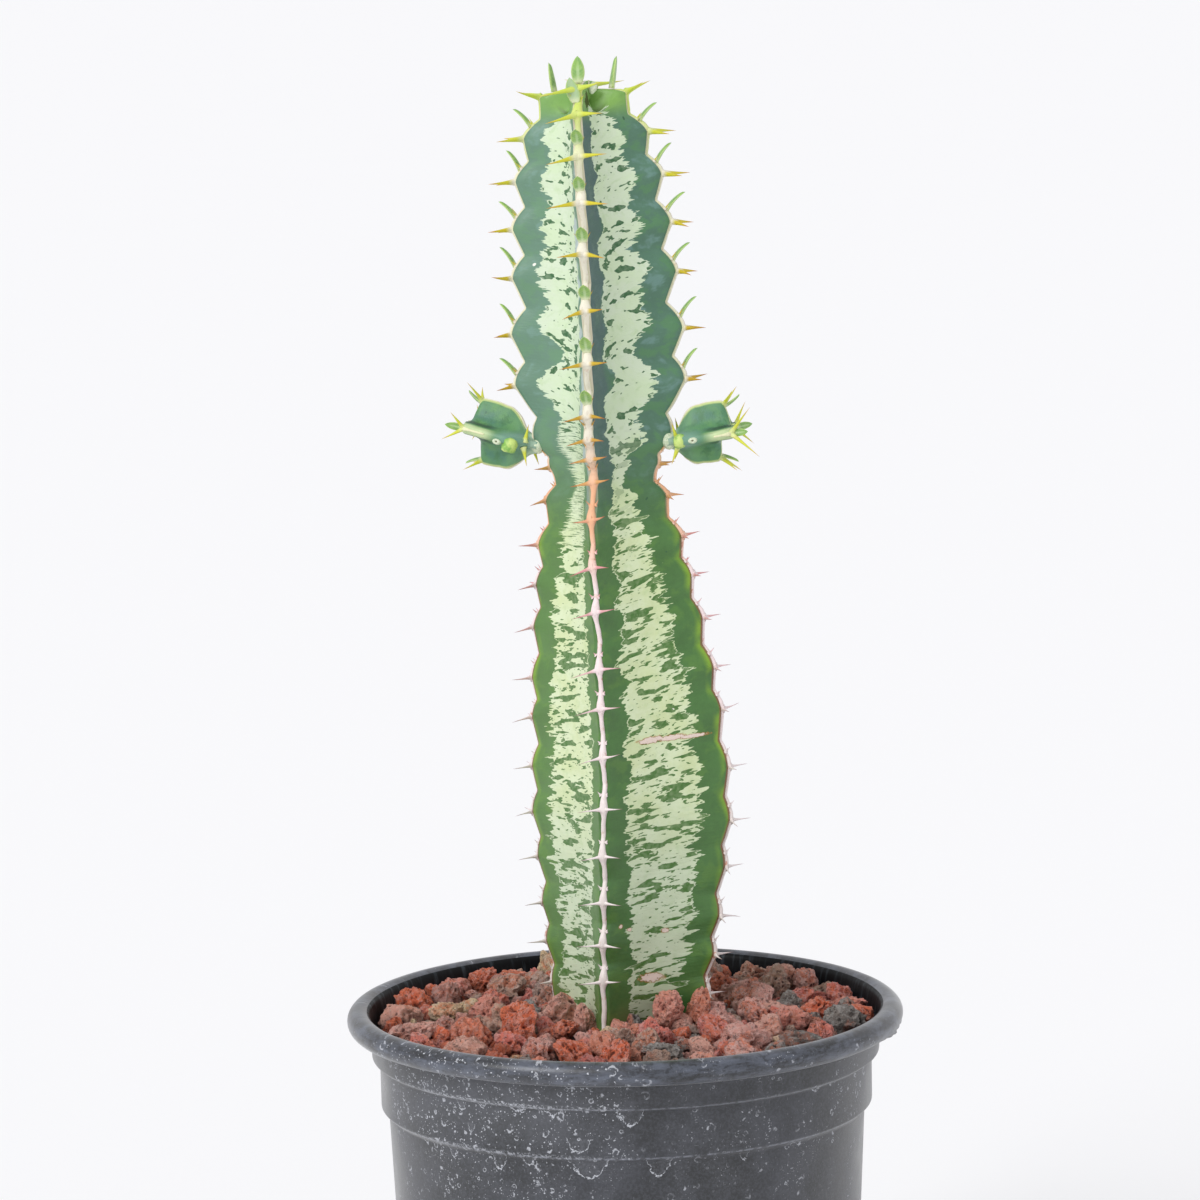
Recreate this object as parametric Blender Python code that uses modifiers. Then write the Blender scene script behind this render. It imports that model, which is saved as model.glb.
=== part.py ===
"""Potted columnar euphorbia: a four-ribbed variegated stem with pale horny rib margins, paired
spines, small leaves and two side shoots, rooted in potting mix under lava gravel in a nursery pot.

Heights of the plant are measured along its axis from the soil line, and the pot's from its foot.
All sizes below are millimetres; the meshes are made in metres, with +Z up, the pot's foot ring
on Z = 0 and the pot's axis on the Z axis. The front of the plant looks along -Y."""

import math

import bmesh
import bpy
import numpy as np

MM = 0.001
CLEARANCE = 0.3
TURNS = 40
SHARP_ANGLE = 40.0
COLLECTION = "potted_euphorbia"
FRONT, RIGHT, BACK, LEFT = range(4)
RIB_NAMES = ("front", "right", "back", "left")

# Pot, a thin moulded nursery pot with a rolled lip, a collar and a band above a tapered wall
POT_WALL = 1.5
LIP_CENTRE = (67.0, 116.9)
LIP_RADIUS = 3.0
LIP_ARC = (165.0, -80.0)
LIP_POINTS = 6
COLLAR_TOP_RADIUS = 64.4
COLLAR_FOOT = (63.9, 107.6)
BAND_RADIUS = 62.0
BAND_TOP = 106.5
BAND_FOOT = 95.0
WALL_TOP = (60.1, 93.5)
WALL_FOOT = (55.8, 1.4)
FOOT_CHAMFER = 1.0
FOOT_RING_WIDTH = 3.0
RECESS_DEPTH = 3.0
FLOOR_THICKNESS = 1.8
DRAIN_HOLES = 6
DRAIN_SIDES = 12
DRAIN_RADIUS = 3.5
DRAIN_CIRCLE = 37.0

# Potting mix and lava gravel
SOIL_TOP = 104.0
SOIL_LINE = 118.0
GRAVEL_AT_STEM = 116.2
GRAVEL_AT_WALL = 115.2
GRAVEL_BED_DROP = 1.5
GRAVEL_RADIUS = 62.4
GRAVEL_MOUND_RADIUS = 20.0
STONE_SEED = 11
STONE_TRIES = 2600
STONE_SIZE = (7.5, 13.0)
STONE_PACKING = 1.0
STONE_SHAPE = ((0.92, 1.1), (0.74, 0.95), (0.6, 0.8))
STONE_ROUGHNESS = 0.17
STONE_INNER = 13.0
STONE_WALL_SHARE = 0.35
STONE_WALL_ROOM = 0.5
STONE_STAGGER = 0.8
STEM_HOLE_REACH = 23.6
STEM_HOLE_SECTION = -12.0
STEM_HOLE_TOP = 128.0

# Main stem: (height, value) pairs, joined by smooth curves
STEM_FOOT = -38.0
STEM_GIRTH = (
    (-38, 11.0), (-34, 15.5), (-20, 17.8), (0, 19.7), (16, 22.1), (38, 24.5), (52, 25.8),
    (66, 25.2), (86, 23.4), (109, 20.1), (120, 18.2), (130, 15.4), (137.5, 13.6), (144, 17.0),
    (152, 20.2), (160, 21.3), (185, 20.4), (198, 19.6), (209, 18.3), (220, 15.4), (231, 10.4),
    (234, 9.6),
)
STEM_DRIFT = (
    (-38, 0.6), (4, 1.3), (40, 2.4), (62, 2.5), (98, 0.2), (130, -2.2), (160, -3.3),
    (200, -4.7), (234, -6.3),
)
STEM_TWIST = ((-38, 19.0), (0, 19.0), (50, 16.5), (90, 14.5), (135, 13.5), (162, 8.5), (234, 8.0))
STEM_WEDGE = ((-38, 25.0), (112, 25.0), (150, 13.0), (234, 12.0))
STEM_HANDLE = ((-38, 0.5), (112, 0.5), (150, 0.68), (234, 0.7))
STEM_EDGE = 1.15
SIDE_NODES = (
    5.4, 15.8, 25.6, 37.8, 49.5, 62.1, 75.7, 86.0, 98.7, 109.4, 119.3, 130.0, 138.0, 143.7,
    158.8, 171.5, 185.5, 197.7, 209.5, 220.0, 229.9,
)
FACE_NODES = (
    11.2, 20.7, 31.7, 43.7, 55.7, 68.8, 81.0, 90.5, 104.5, 115.3, 126.6, 135.5, 141.4, 146.5,
    152.6, 165.5, 178.3, 192.2, 204.6, 215.7, 225.7, 231.9,
)
SIDE_END = 231.2
FACE_END = 233.2
SHOOT_NODE = 143.7
STEM_NOTCH = ((-38, 0.15), (110, 0.16), (150, 0.24), (234, 0.25))
NOTCH_VALLEY = 0.46
NOTCH_SHOULDER = 1.8
NOTCH_REACH = 0.3
NOTCH_FADE = 1.5
CORE_RADIUS = 1.6
END_ROUNDING = 1.6
END_ANGLES = (0, 35, 65, 90)
FACE_STEPS = (0.18, 0.5, 0.82)
LEAST_STEP = 2.6
BURIED_LEVELS = (-34.0, -24.0, -9.0, -1.0)

# Horny margin, its spine pairs and its leaves
MARGIN_FOOT = -9.0
MARGIN_HALF_WIDTH = 1.35
MARGIN_TOP_SHARE = 0.6
MARGIN_THICKNESS = 1.1
MARGIN_LAST_ANGLE = 65
SPINE_ROOT_RADIUS = 0.62
SPINE_SIDES = 3
SPINE_LENGTH = ((0, 6.4), (110, 6.4), (136, 5.6), (158, 8.0), (234, 8.2))
SPINE_SPREAD = ((0, 62.0), (120, 60.0), (158, 46.0), (234, 46.0))
SPINE_RISE = ((0, 0.0), (190, 0.0), (215, 0.0), (223, 6.0), (230, 24.0), (234, 28.0))
LEAVES_ABOVE = 150.0
LEAF_LIFT = 2.7
LEAF_LENGTH = 6.4
TOP_LEAF_LENGTH = 7.6
LEAF_HALF_WIDTH = 1.3
LEAF_HALF_THICKNESS = 0.45
LEAF_RISE = 42.0
TOP_LEAF_RISE = 84.0
LEAF_OUTLINE = ((0.0, 0.5, 0.7), (0.45, 1.0, 1.0), (1.0, 0.2, 0.7))

# Side shoots: short four-ribbed stems on thin necks
SHOOT_GIRTH = ((0, 2.2), (1.5, 3.2), (3, 5.2), (5.4, 7.5), (8, 8.1), (11, 8.0), (17, 6.6))
SHOOT_FOOT = 2.7
SHOOT_UPPER_DELAY = {LEFT: 2.0, RIGHT: 1.4}
SHOOT_LEVELS = (3, 4.2, 5.6, 8)
SHOOT_LEAST_STEP = 1.1
SHOOT_LENGTH_SHARE = {LEFT: 1.12, RIGHT: 1.0}
SHOOT_LOWER_SHARE = {LEFT: 1.0, RIGHT: 0.86}
SHOOT_NODES = {"face": (3.6, 15.8), "upper": (3.6, 14.6), "lower": (3.6, 11.6)}
SHOOT_ENDS = {"face": 16.8, "upper": 15.6, "lower": 12.6}
SHOOT_WEDGE = 15.0
SHOOT_HANDLE = 0.68
SHOOT_EDGE = 0.85
SHOOT_NOTCH = 0.04
SHOOT_RISE = {LEFT: 13.0, RIGHT: 9.0}
SHOOT_SWING = {LEFT: 8.0, RIGHT: -6.0}
SHOOT_SPINE_LENGTH = 6.6
SHOOT_SPINE_OUT = 0.5
SHOOT_SPINE_AHEAD = 0.55
SHOOT_SPINE_ASIDE = 0.67
SHOOT_SPINE_SINK = 0.9
SHOOT_BASE_SPINE_HEIGHT = 3.2
SHOOT_BASE_SPINE_LENGTH = 5.0
SHOOT_BASE_SPINE_ASIDE = 0.6
SHOOT_LEAF_LENGTH = 5.2
SHOOT_LEAF_SINK = 2.4
SHOOT_LEAF_OUT = 0.3

# Colours and roughness of the plain materials
MATERIALS = {
    "pot": ((0.035, 0.037, 0.042), 0.5),
    "soil": ((0.05, 0.032, 0.02), 0.95),
    "gravel": ((0.3, 0.09, 0.05), 0.9),
    "stem": ((0.12, 0.27, 0.09), 0.45),
    "rib_margin": ((0.72, 0.62, 0.52), 0.6),
    "shoot": ((0.11, 0.27, 0.15), 0.45),
}


def smooth(knots, at):
    """Height-to-value curve through the knots: a cubic between two, its slopes from the neighbours."""
    where, value = np.array(knots, float).T
    slope = np.gradient(value, where)
    low = np.clip(np.searchsorted(where, at, side="right") - 1, 0, len(where) - 2)
    span = where[low + 1] - where[low]
    share = np.clip((at - where[low]) / span, 0, 1)
    rest = 1 - share
    ends = (1 + 2 * share) * rest**2 * value[low] + share**2 * (3 - 2 * share) * value[low + 1]
    return ends + span * share * rest * (rest * slope[low] - share * slope[low + 1])


def between_nodes(nodes, at):
    """Share of the way from one node of a rib to the next, and that internode's length."""
    nodes = np.array(nodes)
    low = np.clip(np.searchsorted(nodes, at, side="right") - 1, 0, len(nodes) - 2)
    pitch = nodes[low + 1] - nodes[low]
    return np.clip((at - nodes[low]) / pitch, 0, 1), pitch


class Column:
    """A four-ribbed stem. At height t its axis is at base + drift * e1 + t * e3, its section lies
    square to the axis there, and rib number n points at -90 - twist + 90 n degrees from e1
    towards e2."""

    def __init__(self, base, axes, girth, nodes, ends, edge):
        self.base = np.array(base, float)
        self.e1, self.e2, self.e3 = (np.array(axis, float) for axis in axes)
        self.girth = girth
        self.nodes = nodes
        self.ends = ends
        self.edge = edge
        self.delay = [0.0, 0.0, 0.0, 0.0]
        self.width_share = [1.0, 1.0, 1.0, 1.0]
        self.notch_share = ((0, SHOOT_NOTCH), (1, SHOOT_NOTCH))
        self.drift = ((0, 0.0), (1, 0.0))
        self.twist = ((0, 0.0), (1, 0.0))
        self.wedge = ((0, SHOOT_WEDGE), (1, SHOOT_WEDGE))
        self.handle = ((0, SHOOT_HANDLE), (1, SHOOT_HANDLE))

    def axis_point(self, t):
        t = np.atleast_1d(t)[:, None]
        return self.base + smooth(self.drift, t) * self.e1 + t * self.e3

    def directions(self, rib, t):
        """Outward and sideways unit vectors of a rib, the second turning from e1 towards e2."""
        t = np.atleast_1d(t)
        lean = (smooth(self.drift, t + 1) - smooth(self.drift, t - 1))[:, None] / 2
        across = self.e1 - lean * self.e3
        angle = np.radians(-90 - smooth(self.twist, t) + 90 * rib)[:, None]
        out = np.cos(angle) * across + np.sin(angle) * self.e2
        side = -np.sin(angle) * across + np.cos(angle) * self.e2
        return out, side

    def full_radius(self, rib, t):
        """Radius over the teeth, closing on a quarter ellipse at the rib's end."""
        over = np.clip((t - self.ends[rib]) / END_ROUNDING + 1, 0, 1)
        closing = np.sqrt(1 - over**2)
        girth = self.width_share[rib] * smooth(self.girth, np.asarray(t) - self.delay[rib])
        return CORE_RADIUS + (girth - CORE_RADIUS) * closing

    def notch(self, rib, t):
        """Depth of the cut between two teeth. Above the lower node it deepens in a round shoulder,
        and from the valley it closes in a straight line up to the next node."""
        share, pitch = between_nodes(self.nodes[rib], t)
        depth = smooth(self.notch_share, t) * pitch
        shoulder = (share / NOTCH_VALLEY) ** NOTCH_SHOULDER
        straight = (1 - share) / (1 - NOTCH_VALLEY)
        return depth * np.minimum(shoulder, straight)

    def edge_radius(self, rib, t):
        return self.full_radius(rib, t) - self.notch(rib, t)

    def rings(self, t, face_steps):
        """One closed ring of points at each height. Between two ribs the section is a cubic Bezier
        curve that leaves each rib at the wedge angle from its radius, and near a rib it follows
        that rib's scallops."""
        t = np.asarray(t, float)
        centre = self.axis_point(t)
        wedge = np.radians(smooth(self.wedge, t))[:, None]
        handle = smooth(self.handle, t)[:, None]
        columns = []
        for rib in range(4):
            following = (rib + 1) % 4
            out, side = self.directions(rib, t)
            out_next, side_next = self.directions(following, t)
            full = self.full_radius(rib, t)[:, None]
            full_next = self.full_radius(following, t)[:, None]
            notch = np.minimum(self.notch(rib, t)[:, None], full - CORE_RADIUS)
            notch_next = np.minimum(self.notch(following, t)[:, None], full_next - CORE_RADIUS)
            start = full * out + self.edge * side
            stop = full_next * out_next - self.edge * side_next
            leave = start + handle * full * (np.sin(wedge) * side - np.cos(wedge) * out)
            arrive = stop - handle * full_next * (np.sin(wedge) * side_next + np.cos(wedge) * out_next)
            columns.append(start - 2 * self.edge * side - notch * out)
            for share in (0.0, *face_steps):
                rest = 1 - share
                curve = rest**3 * start + 3 * rest**2 * share * leave
                curve = curve + 3 * rest * share**2 * arrive + share**3 * stop
                pull = max(0.0, 1 - share / NOTCH_REACH) ** NOTCH_FADE
                pull_next = max(0.0, 1 - rest / NOTCH_REACH) ** NOTCH_FADE
                columns.append(curve - notch * pull * out - notch_next * pull_next * out_next)
        return centre[:, None] + np.stack(columns, axis=1)

    def edge_line(self, rib, t):
        """Points along a rib's edge, with the line's outward normal and the rib's sideways vector."""
        out, side = self.directions(rib, t)
        radius = self.edge_radius(rib, t)
        points = self.axis_point(t) + radius[:, None] * out
        along = np.gradient(points, axis=0)
        normal = np.cross(side, along)
        return points, normal / np.linalg.norm(normal, axis=1)[:, None], side


def end_levels(end):
    """Heights at even angles round the quarter ellipse that closes a rib."""
    return [end - END_ROUNDING + END_ROUNDING * math.sin(math.radians(angle)) for angle in END_ANGLES]


def levels(foot, marks, ends, least_step):
    """Heights of the rings: every mark, half-way between two, and the rounding of each end."""
    marks = sorted({foot, *marks})
    marks += [(low + high) / 2 for low, high in zip(marks, marks[1:])]
    closing = sorted(level for end in set(ends) for level in end_levels(end))
    kept = []
    for level in sorted(marks):
        if level < closing[0] - least_step and (not kept or level - kept[-1] > least_step):
            kept.append(level)
    return np.array(kept + closing)


def material(name):
    made = bpy.data.materials.get(name)
    if made:
        return made
    colour, roughness = MATERIALS[name]
    made = bpy.data.materials.new(name)
    made.use_nodes = True
    shader = made.node_tree.nodes["Principled BSDF"]
    shader.inputs["Base Color"].default_value = (*colour, 1)
    shader.inputs["Roughness"].default_value = roughness
    made.diffuse_color = (*colour, 1)
    return made


def add_object(name, mesh, material_name=None, collection=COLLECTION):
    made = bpy.data.objects.new(name, mesh)
    if material_name:
        mesh.materials.append(material(material_name))
    home = bpy.data.collections.get(collection)
    if not home:
        home = bpy.data.collections.new(collection)
        bpy.context.scene.collection.children.link(home)
    home.objects.link(made)
    return made


def closed_loft(name, rings):
    """Mesh through rings of points in millimetres, its two ends closed by fans to their centres."""
    count, around = rings.shape[:2]
    poles = [rings[0].mean(axis=0), rings[-1].mean(axis=0)]
    points = np.concatenate([rings.reshape(-1, 3), poles]) * MM
    here = np.arange(around)
    ahead = (here + 1) % around
    row = np.arange(count - 1)[:, None] * around
    quads = np.stack([row + here, row + ahead, row + around + ahead, row + around + here], -1)
    last = (count - 1) * around
    first_fan = np.stack([ahead, here, np.full(around, count * around)], -1)
    last_fan = np.stack([last + here, last + ahead, np.full(around, count * around + 1)], -1)
    faces = quads.reshape(-1, 4).tolist() + first_fan.tolist() + last_fan.tolist()
    mesh = bpy.data.meshes.new(name)
    mesh.from_pydata(points.tolist(), [], faces)
    work = bmesh.new()
    work.from_mesh(mesh)
    bmesh.ops.recalc_face_normals(work, faces=work.faces)
    work.to_mesh(mesh)
    work.free()
    return mesh


def closed_cone(ring, tip):
    """Mesh of a cone from a ring of points in millimetres to its tip."""
    count = len(ring)
    points = np.concatenate([ring, [tip]]) * MM
    faces = [(i, (i + 1) % count, count) for i in range(count)]
    mesh = bpy.data.meshes.new("cone")
    mesh.from_pydata(points.tolist(), [], [*faces, tuple(reversed(range(count)))])
    return mesh


def turned(name, profile, material_name, collection=COLLECTION):
    """Solid of revolution about Z from an outline that starts and ends on the axis."""
    mesh = bpy.data.meshes.new(name)
    points = [(radius * MM, 0, height * MM) for radius, height in profile]
    mesh.from_pydata(points, [(i, i + 1) for i in range(len(points) - 1)], [])
    made = add_object(name, mesh, material_name, collection)
    screw = made.modifiers.new("turn", "SCREW")
    screw.steps = TURNS
    screw.render_steps = TURNS
    screw.use_merge_vertices = True
    screw.merge_threshold = 0.00001
    return made


def pot_inside(height):
    """Inner radius of the pot's wall, without its lip."""
    outer = np.interp(
        height,
        (WALL_FOOT[1], WALL_TOP[1], BAND_FOOT, BAND_TOP, COLLAR_FOOT[1], LIP_CENTRE[1]),
        (WALL_FOOT[0], WALL_TOP[0], BAND_RADIUS, BAND_RADIUS, COLLAR_FOOT[0], COLLAR_TOP_RADIUS),
    )
    return float(outer) - POT_WALL


def lip_arc():
    """Rolled lip, from inside over the top to its lower outer side."""
    angles = np.radians(np.linspace(*LIP_ARC, LIP_POINTS))
    return [
        (LIP_CENTRE[0] + LIP_RADIUS * math.cos(angle), LIP_CENTRE[1] + LIP_RADIUS * math.sin(angle))
        for angle in angles
    ]


def make_pot():
    floor_top = RECESS_DEPTH + FLOOR_THICKNESS
    foot_inside = WALL_FOOT[0] - FOOT_CHAMFER - FOOT_RING_WIDTH
    inside = [floor_top, WALL_TOP[1], BAND_FOOT, BAND_TOP, COLLAR_FOOT[1]]
    profile = [(0, floor_top)]
    profile += [(pot_inside(height), height) for height in inside]
    profile += lip_arc()
    profile += [
        (COLLAR_TOP_RADIUS, LIP_CENTRE[1] - LIP_RADIUS),
        COLLAR_FOOT,
        (BAND_RADIUS, BAND_TOP),
        (BAND_RADIUS, BAND_FOOT),
        WALL_TOP,
        WALL_FOOT,
        (WALL_FOOT[0] - FOOT_CHAMFER, 0),
        (foot_inside, 0),
        (foot_inside, RECESS_DEPTH),
        (0, RECESS_DEPTH),
    ]
    pot = turned("pot", profile, "pot")
    for index in range(DRAIN_HOLES):
        angle = 2 * math.pi * index / DRAIN_HOLES
        work = bmesh.new()
        bmesh.ops.create_cone(
            work, cap_ends=True, segments=DRAIN_SIDES, depth=4 * FLOOR_THICKNESS * MM,
            radius1=DRAIN_RADIUS * MM, radius2=DRAIN_RADIUS * MM,
        )
        mesh = bpy.data.meshes.new("drain_cutter")
        work.to_mesh(mesh)
        work.free()
        cutter = add_object("drain_cutter", mesh, collection="cutters")
        cutter.location = (
            DRAIN_CIRCLE * MM * math.cos(angle),
            DRAIN_CIRCLE * MM * math.sin(angle),
            (RECESS_DEPTH + FLOOR_THICKNESS / 2) * MM,
        )
        cut_by(pot, cutter)
    return pot


def cut_by(target, cutter):
    cutter.hide_render = True
    cutter.display_type = "WIRE"
    cut = target.modifiers.new("cut", "BOOLEAN")
    cut.operation = "DIFFERENCE"
    cut.object = cutter


def freeze(target):
    """Replaces an object's mesh with the one that its modifiers make."""
    bpy.context.view_layer.update()
    graph = bpy.context.evaluated_depsgraph_get()
    mesh = bpy.data.meshes.new_from_object(target.evaluated_get(graph))
    target.modifiers.clear()
    target.data = mesh


def fuse(target, pieces):
    """Joins the pieces to the target with one Boolean union, and removes them."""
    home = bpy.data.collections.new("pieces")
    bpy.context.scene.collection.children.link(home)
    for number, mesh in enumerate(pieces):
        home.objects.link(bpy.data.objects.new(f"piece_{number}", mesh))
    union = target.modifiers.new("union", "BOOLEAN")
    union.operation = "UNION"
    union.operand_type = "COLLECTION"
    union.solver = "MANIFOLD"
    union.collection = home
    freeze(target)
    for piece in list(home.objects):
        bpy.data.objects.remove(piece)
    bpy.data.collections.remove(home)


def keep_largest(target):
    """Drops the loose scraps of a cut, leaving the piece with the most vertices."""
    work = bmesh.new()
    work.from_mesh(target.data)
    unseen = set(work.verts)
    pieces = []
    while unseen:
        front = [unseen.pop()]
        piece = list(front)
        while front:
            near = {edge.other_vert(vertex) for vertex in front for edge in vertex.link_edges}
            front = list(near & unseen)
            unseen -= set(front)
            piece += front
        pieces.append(piece)
    pieces.sort(key=len)
    scraps = [vertex for piece in pieces[:-1] for vertex in piece]
    bmesh.ops.delete(work, geom=scraps, context="VERTS")
    work.to_mesh(target.data)
    work.free()


def stem_column():
    sides = {FRONT: FACE_NODES, BACK: FACE_NODES, LEFT: SIDE_NODES, RIGHT: SIDE_NODES}
    ends = {FRONT: FACE_END, BACK: FACE_END, LEFT: SIDE_END, RIGHT: SIDE_END}
    column = Column((0, 0, SOIL_LINE), np.eye(3), STEM_GIRTH, sides, ends, STEM_EDGE)
    column.notch_share = STEM_NOTCH
    column.drift = STEM_DRIFT
    column.twist = STEM_TWIST
    column.wedge = STEM_WEDGE
    column.handle = STEM_HANDLE
    return column


def stem_levels():
    marks = (*BURIED_LEVELS, *SIDE_NODES, *FACE_NODES)
    return levels(STEM_FOOT, marks, (SIDE_END, FACE_END), LEAST_STEP)


def make_stem(column):
    rings = column.rings(stem_levels(), FACE_STEPS)
    return add_object("stem", closed_loft("stem", rings), "stem")


def spine_mesh(root, direction, length):
    """Three-sided cone from its root along a direction."""
    direction = direction / np.linalg.norm(direction)
    across = np.cross(direction, np.eye(3)[np.argmin(abs(direction))])
    across /= np.linalg.norm(across)
    other = np.cross(direction, across)
    angles = 2 * np.pi * np.arange(SPINE_SIDES) / SPINE_SIDES
    round_root = np.cos(angles)[:, None] * across + np.sin(angles)[:, None] * other
    return closed_cone(root + SPINE_ROOT_RADIUS * round_root, root + length * direction)


def leaf_mesh(root, direction, side, length):
    """Lens-shaped blade: four-cornered sections, widest near the middle of its length."""
    direction = direction / np.linalg.norm(direction)
    face = np.cross(side, direction)
    face /= np.linalg.norm(face)
    rings = []
    for share, width, thickness in LEAF_OUTLINE:
        middle = root + share * length * direction
        half_width = LEAF_HALF_WIDTH * width * side
        half_thickness = LEAF_HALF_THICKNESS * thickness * face
        rings.append(
            [middle + half_width, middle + half_thickness, middle - half_width, middle - half_thickness]
        )
    return closed_loft("leaf", np.array(rings))


def margin_rings(column, rib, t):
    """Four-cornered strip that lies along a rib's edge, clear of it by the usual gap."""
    points, normal, side = column.edge_line(rib, t)
    foot = points + CLEARANCE * normal
    top = foot + MARGIN_THICKNESS * normal
    narrow = MARGIN_HALF_WIDTH * MARGIN_TOP_SHARE * side
    wide = MARGIN_HALF_WIDTH * side
    return np.stack([foot - wide, foot + wide, top + narrow, top - narrow], axis=1)


def make_margin(column, rib):
    name = f"rib_margin_{RIB_NAMES[rib]}"
    heights = stem_levels()
    last = end_levels(column.ends[rib])[END_ANGLES.index(MARGIN_LAST_ANGLE)]
    heights = heights[(heights >= MARGIN_FOOT) & (heights <= last + 0.001)]
    strip = add_object(name, closed_loft(name, margin_rings(column, rib, heights)), "rib_margin")
    points, normal, side = column.edge_line(rib, heights)
    pieces = []
    for node in column.nodes[rib]:
        if rib in SHOOT_RISE and node == SHOOT_NODE:
            continue
        place = int(np.argmin(abs(heights - node)))
        out, sideways = column.directions(rib, heights[place])
        root = points[place] + (CLEARANCE + MARGIN_THICKNESS / 2) * normal[place]
        spread = math.radians(float(smooth(SPINE_SPREAD, node)))
        rise = math.radians(float(smooth(SPINE_RISE, node)))
        length = float(smooth(SPINE_LENGTH, node))
        ahead = math.cos(rise) * out[0] + math.sin(rise) * column.e3
        for hand in (-1, 1):
            direction = math.cos(spread) * ahead + hand * math.sin(spread) * sideways[0]
            pieces.append(spine_mesh(root, direction, length))
        if node < LEAVES_ABOVE:
            continue
        top_node = node == column.nodes[rib][-1]
        rise = math.radians(TOP_LEAF_RISE if top_node else LEAF_RISE)
        level = last if top_node else node + LEAF_LIFT
        foot = np.array([np.interp(level, heights, points[:, axis]) for axis in range(3)])
        foot = foot + (CLEARANCE + MARGIN_THICKNESS / 2) * out[0]
        direction = math.cos(rise) * out[0] + math.sin(rise) * column.e3
        size = TOP_LEAF_LENGTH if top_node else LEAF_LENGTH
        pieces.append(leaf_mesh(foot, direction, sideways[0], size))
    fuse(strip, pieces)
    return strip


def shoot_column(stem, rib):
    """Short column whose axis starts on the stem's rib at the shoot's node. Its own ribs stand
    to the front and back, above and below, and the lower one is the shortest."""
    height = np.array([SHOOT_NODE - 1, SHOOT_NODE, SHOOT_NODE + 1])
    points = stem.edge_line(rib, height)[0]
    out = stem.directions(rib, SHOOT_NODE)[0]
    heading = math.atan2(out[0][1], out[0][0]) - math.radians(SHOOT_SWING[rib])
    rise = math.radians(SHOOT_RISE[rib])
    e3 = np.array([
        math.cos(rise) * math.cos(heading), math.cos(rise) * math.sin(heading), math.sin(rise)
    ])
    e2 = np.array([0, 1, 0]) - e3[1] * e3
    e2 /= np.linalg.norm(e2)
    upper = (rib + 2) % 4
    kinds = {FRONT: "face", BACK: "face", upper: "upper", rib: "lower"}
    longer = SHOOT_LENGTH_SHARE[rib]
    nodes = {own_rib: np.multiply(SHOOT_NODES[kind], longer) for own_rib, kind in kinds.items()}
    ends = {own_rib: SHOOT_ENDS[kind] * longer for own_rib, kind in kinds.items()}
    girth = [(height * longer, radius) for height, radius in SHOOT_GIRTH]
    column = Column(points[1], (np.cross(e2, e3), e2, e3), girth, nodes, ends, SHOOT_EDGE)
    column.delay[upper] = SHOOT_UPPER_DELAY[rib]
    column.width_share[rib] = SHOOT_LOWER_SHARE[rib]
    return column


def edge_point(column, rib, height):
    """Point on a rib's edge at a height."""
    out = column.directions(rib, height)[0][0]
    return column.axis_point(height)[0] + float(column.edge_radius(rib, height)) * out


def make_shoot(stem, rib):
    column = shoot_column(stem, rib)
    heights = levels(SHOOT_FOOT, SHOOT_LEVELS, column.ends.values(), SHOOT_LEAST_STEP)
    name = f"shoot_{RIB_NAMES[rib]}"
    shoot = add_object(name, closed_loft(name, column.rings(heights, FACE_STEPS)), "shoot")
    pieces = []
    for own_rib in range(4):
        node = column.nodes[own_rib][-1]
        out, side = (vector[0] for vector in column.directions(own_rib, node))
        edge = edge_point(column, own_rib, node)
        for hand in (-1, 1):
            direction = SHOOT_SPINE_OUT * out + SHOOT_SPINE_AHEAD * column.e3
            direction = direction + SHOOT_SPINE_ASIDE * hand * side
            pieces.append(spine_mesh(edge - SHOOT_SPINE_SINK * out, direction, SHOOT_SPINE_LENGTH))
            if own_rib in (FRONT, BACK):
                foot = edge_point(column, own_rib, SHOOT_BASE_SPINE_HEIGHT) - SHOOT_SPINE_SINK * out
                direction = out + SHOOT_BASE_SPINE_ASIDE * hand * side + SHOOT_LEAF_OUT * column.e3
                pieces.append(spine_mesh(foot, direction, SHOOT_BASE_SPINE_LENGTH))
        direction = SHOOT_LEAF_OUT * out + column.e3
        pieces.append(leaf_mesh(edge - SHOOT_LEAF_SINK * out, direction, side, SHOOT_LEAF_LENGTH))
    fuse(shoot, pieces)
    return shoot


def make_hole_cutter(column):
    """Plain four-cornered hole that the stem and its margins stand in."""
    foot = SOIL_LINE + STEM_FOOT - CLEARANCE
    centre = column.axis_point(STEM_HOLE_SECTION)[0] * (1, 1, 0)
    flat = column.rings([STEM_HOLE_SECTION], FACE_STEPS)[0] * (1, 1, 0) - centre
    scale = STEM_HOLE_REACH / np.linalg.norm(flat, axis=1).max()
    low = centre + scale * flat + (0, 0, foot)
    high = low + (0, 0, STEM_HOLE_TOP - foot)
    mesh = closed_loft("hole_cutter", np.array([low, high]))
    return add_object("hole_cutter", mesh, collection="cutters")


def make_soil(cutter):
    inside = [SOIL_TOP, BAND_FOOT, WALL_TOP[1], RECESS_DEPTH + FLOOR_THICKNESS + CLEARANCE]
    profile = [(0, SOIL_TOP)]
    profile += [(pot_inside(height) - CLEARANCE, height) for height in inside]
    profile += [(0, inside[-1])]
    soil = turned("potting_mix", profile, "soil")
    cut_by(soil, cutter)
    return soil


def gravel_height(radius):
    """Mean level of the stones' middles, a low mound round the stem."""
    return np.interp(
        radius, (GRAVEL_MOUND_RADIUS, GRAVEL_RADIUS), (GRAVEL_AT_STEM, GRAVEL_AT_WALL)
    )


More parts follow.
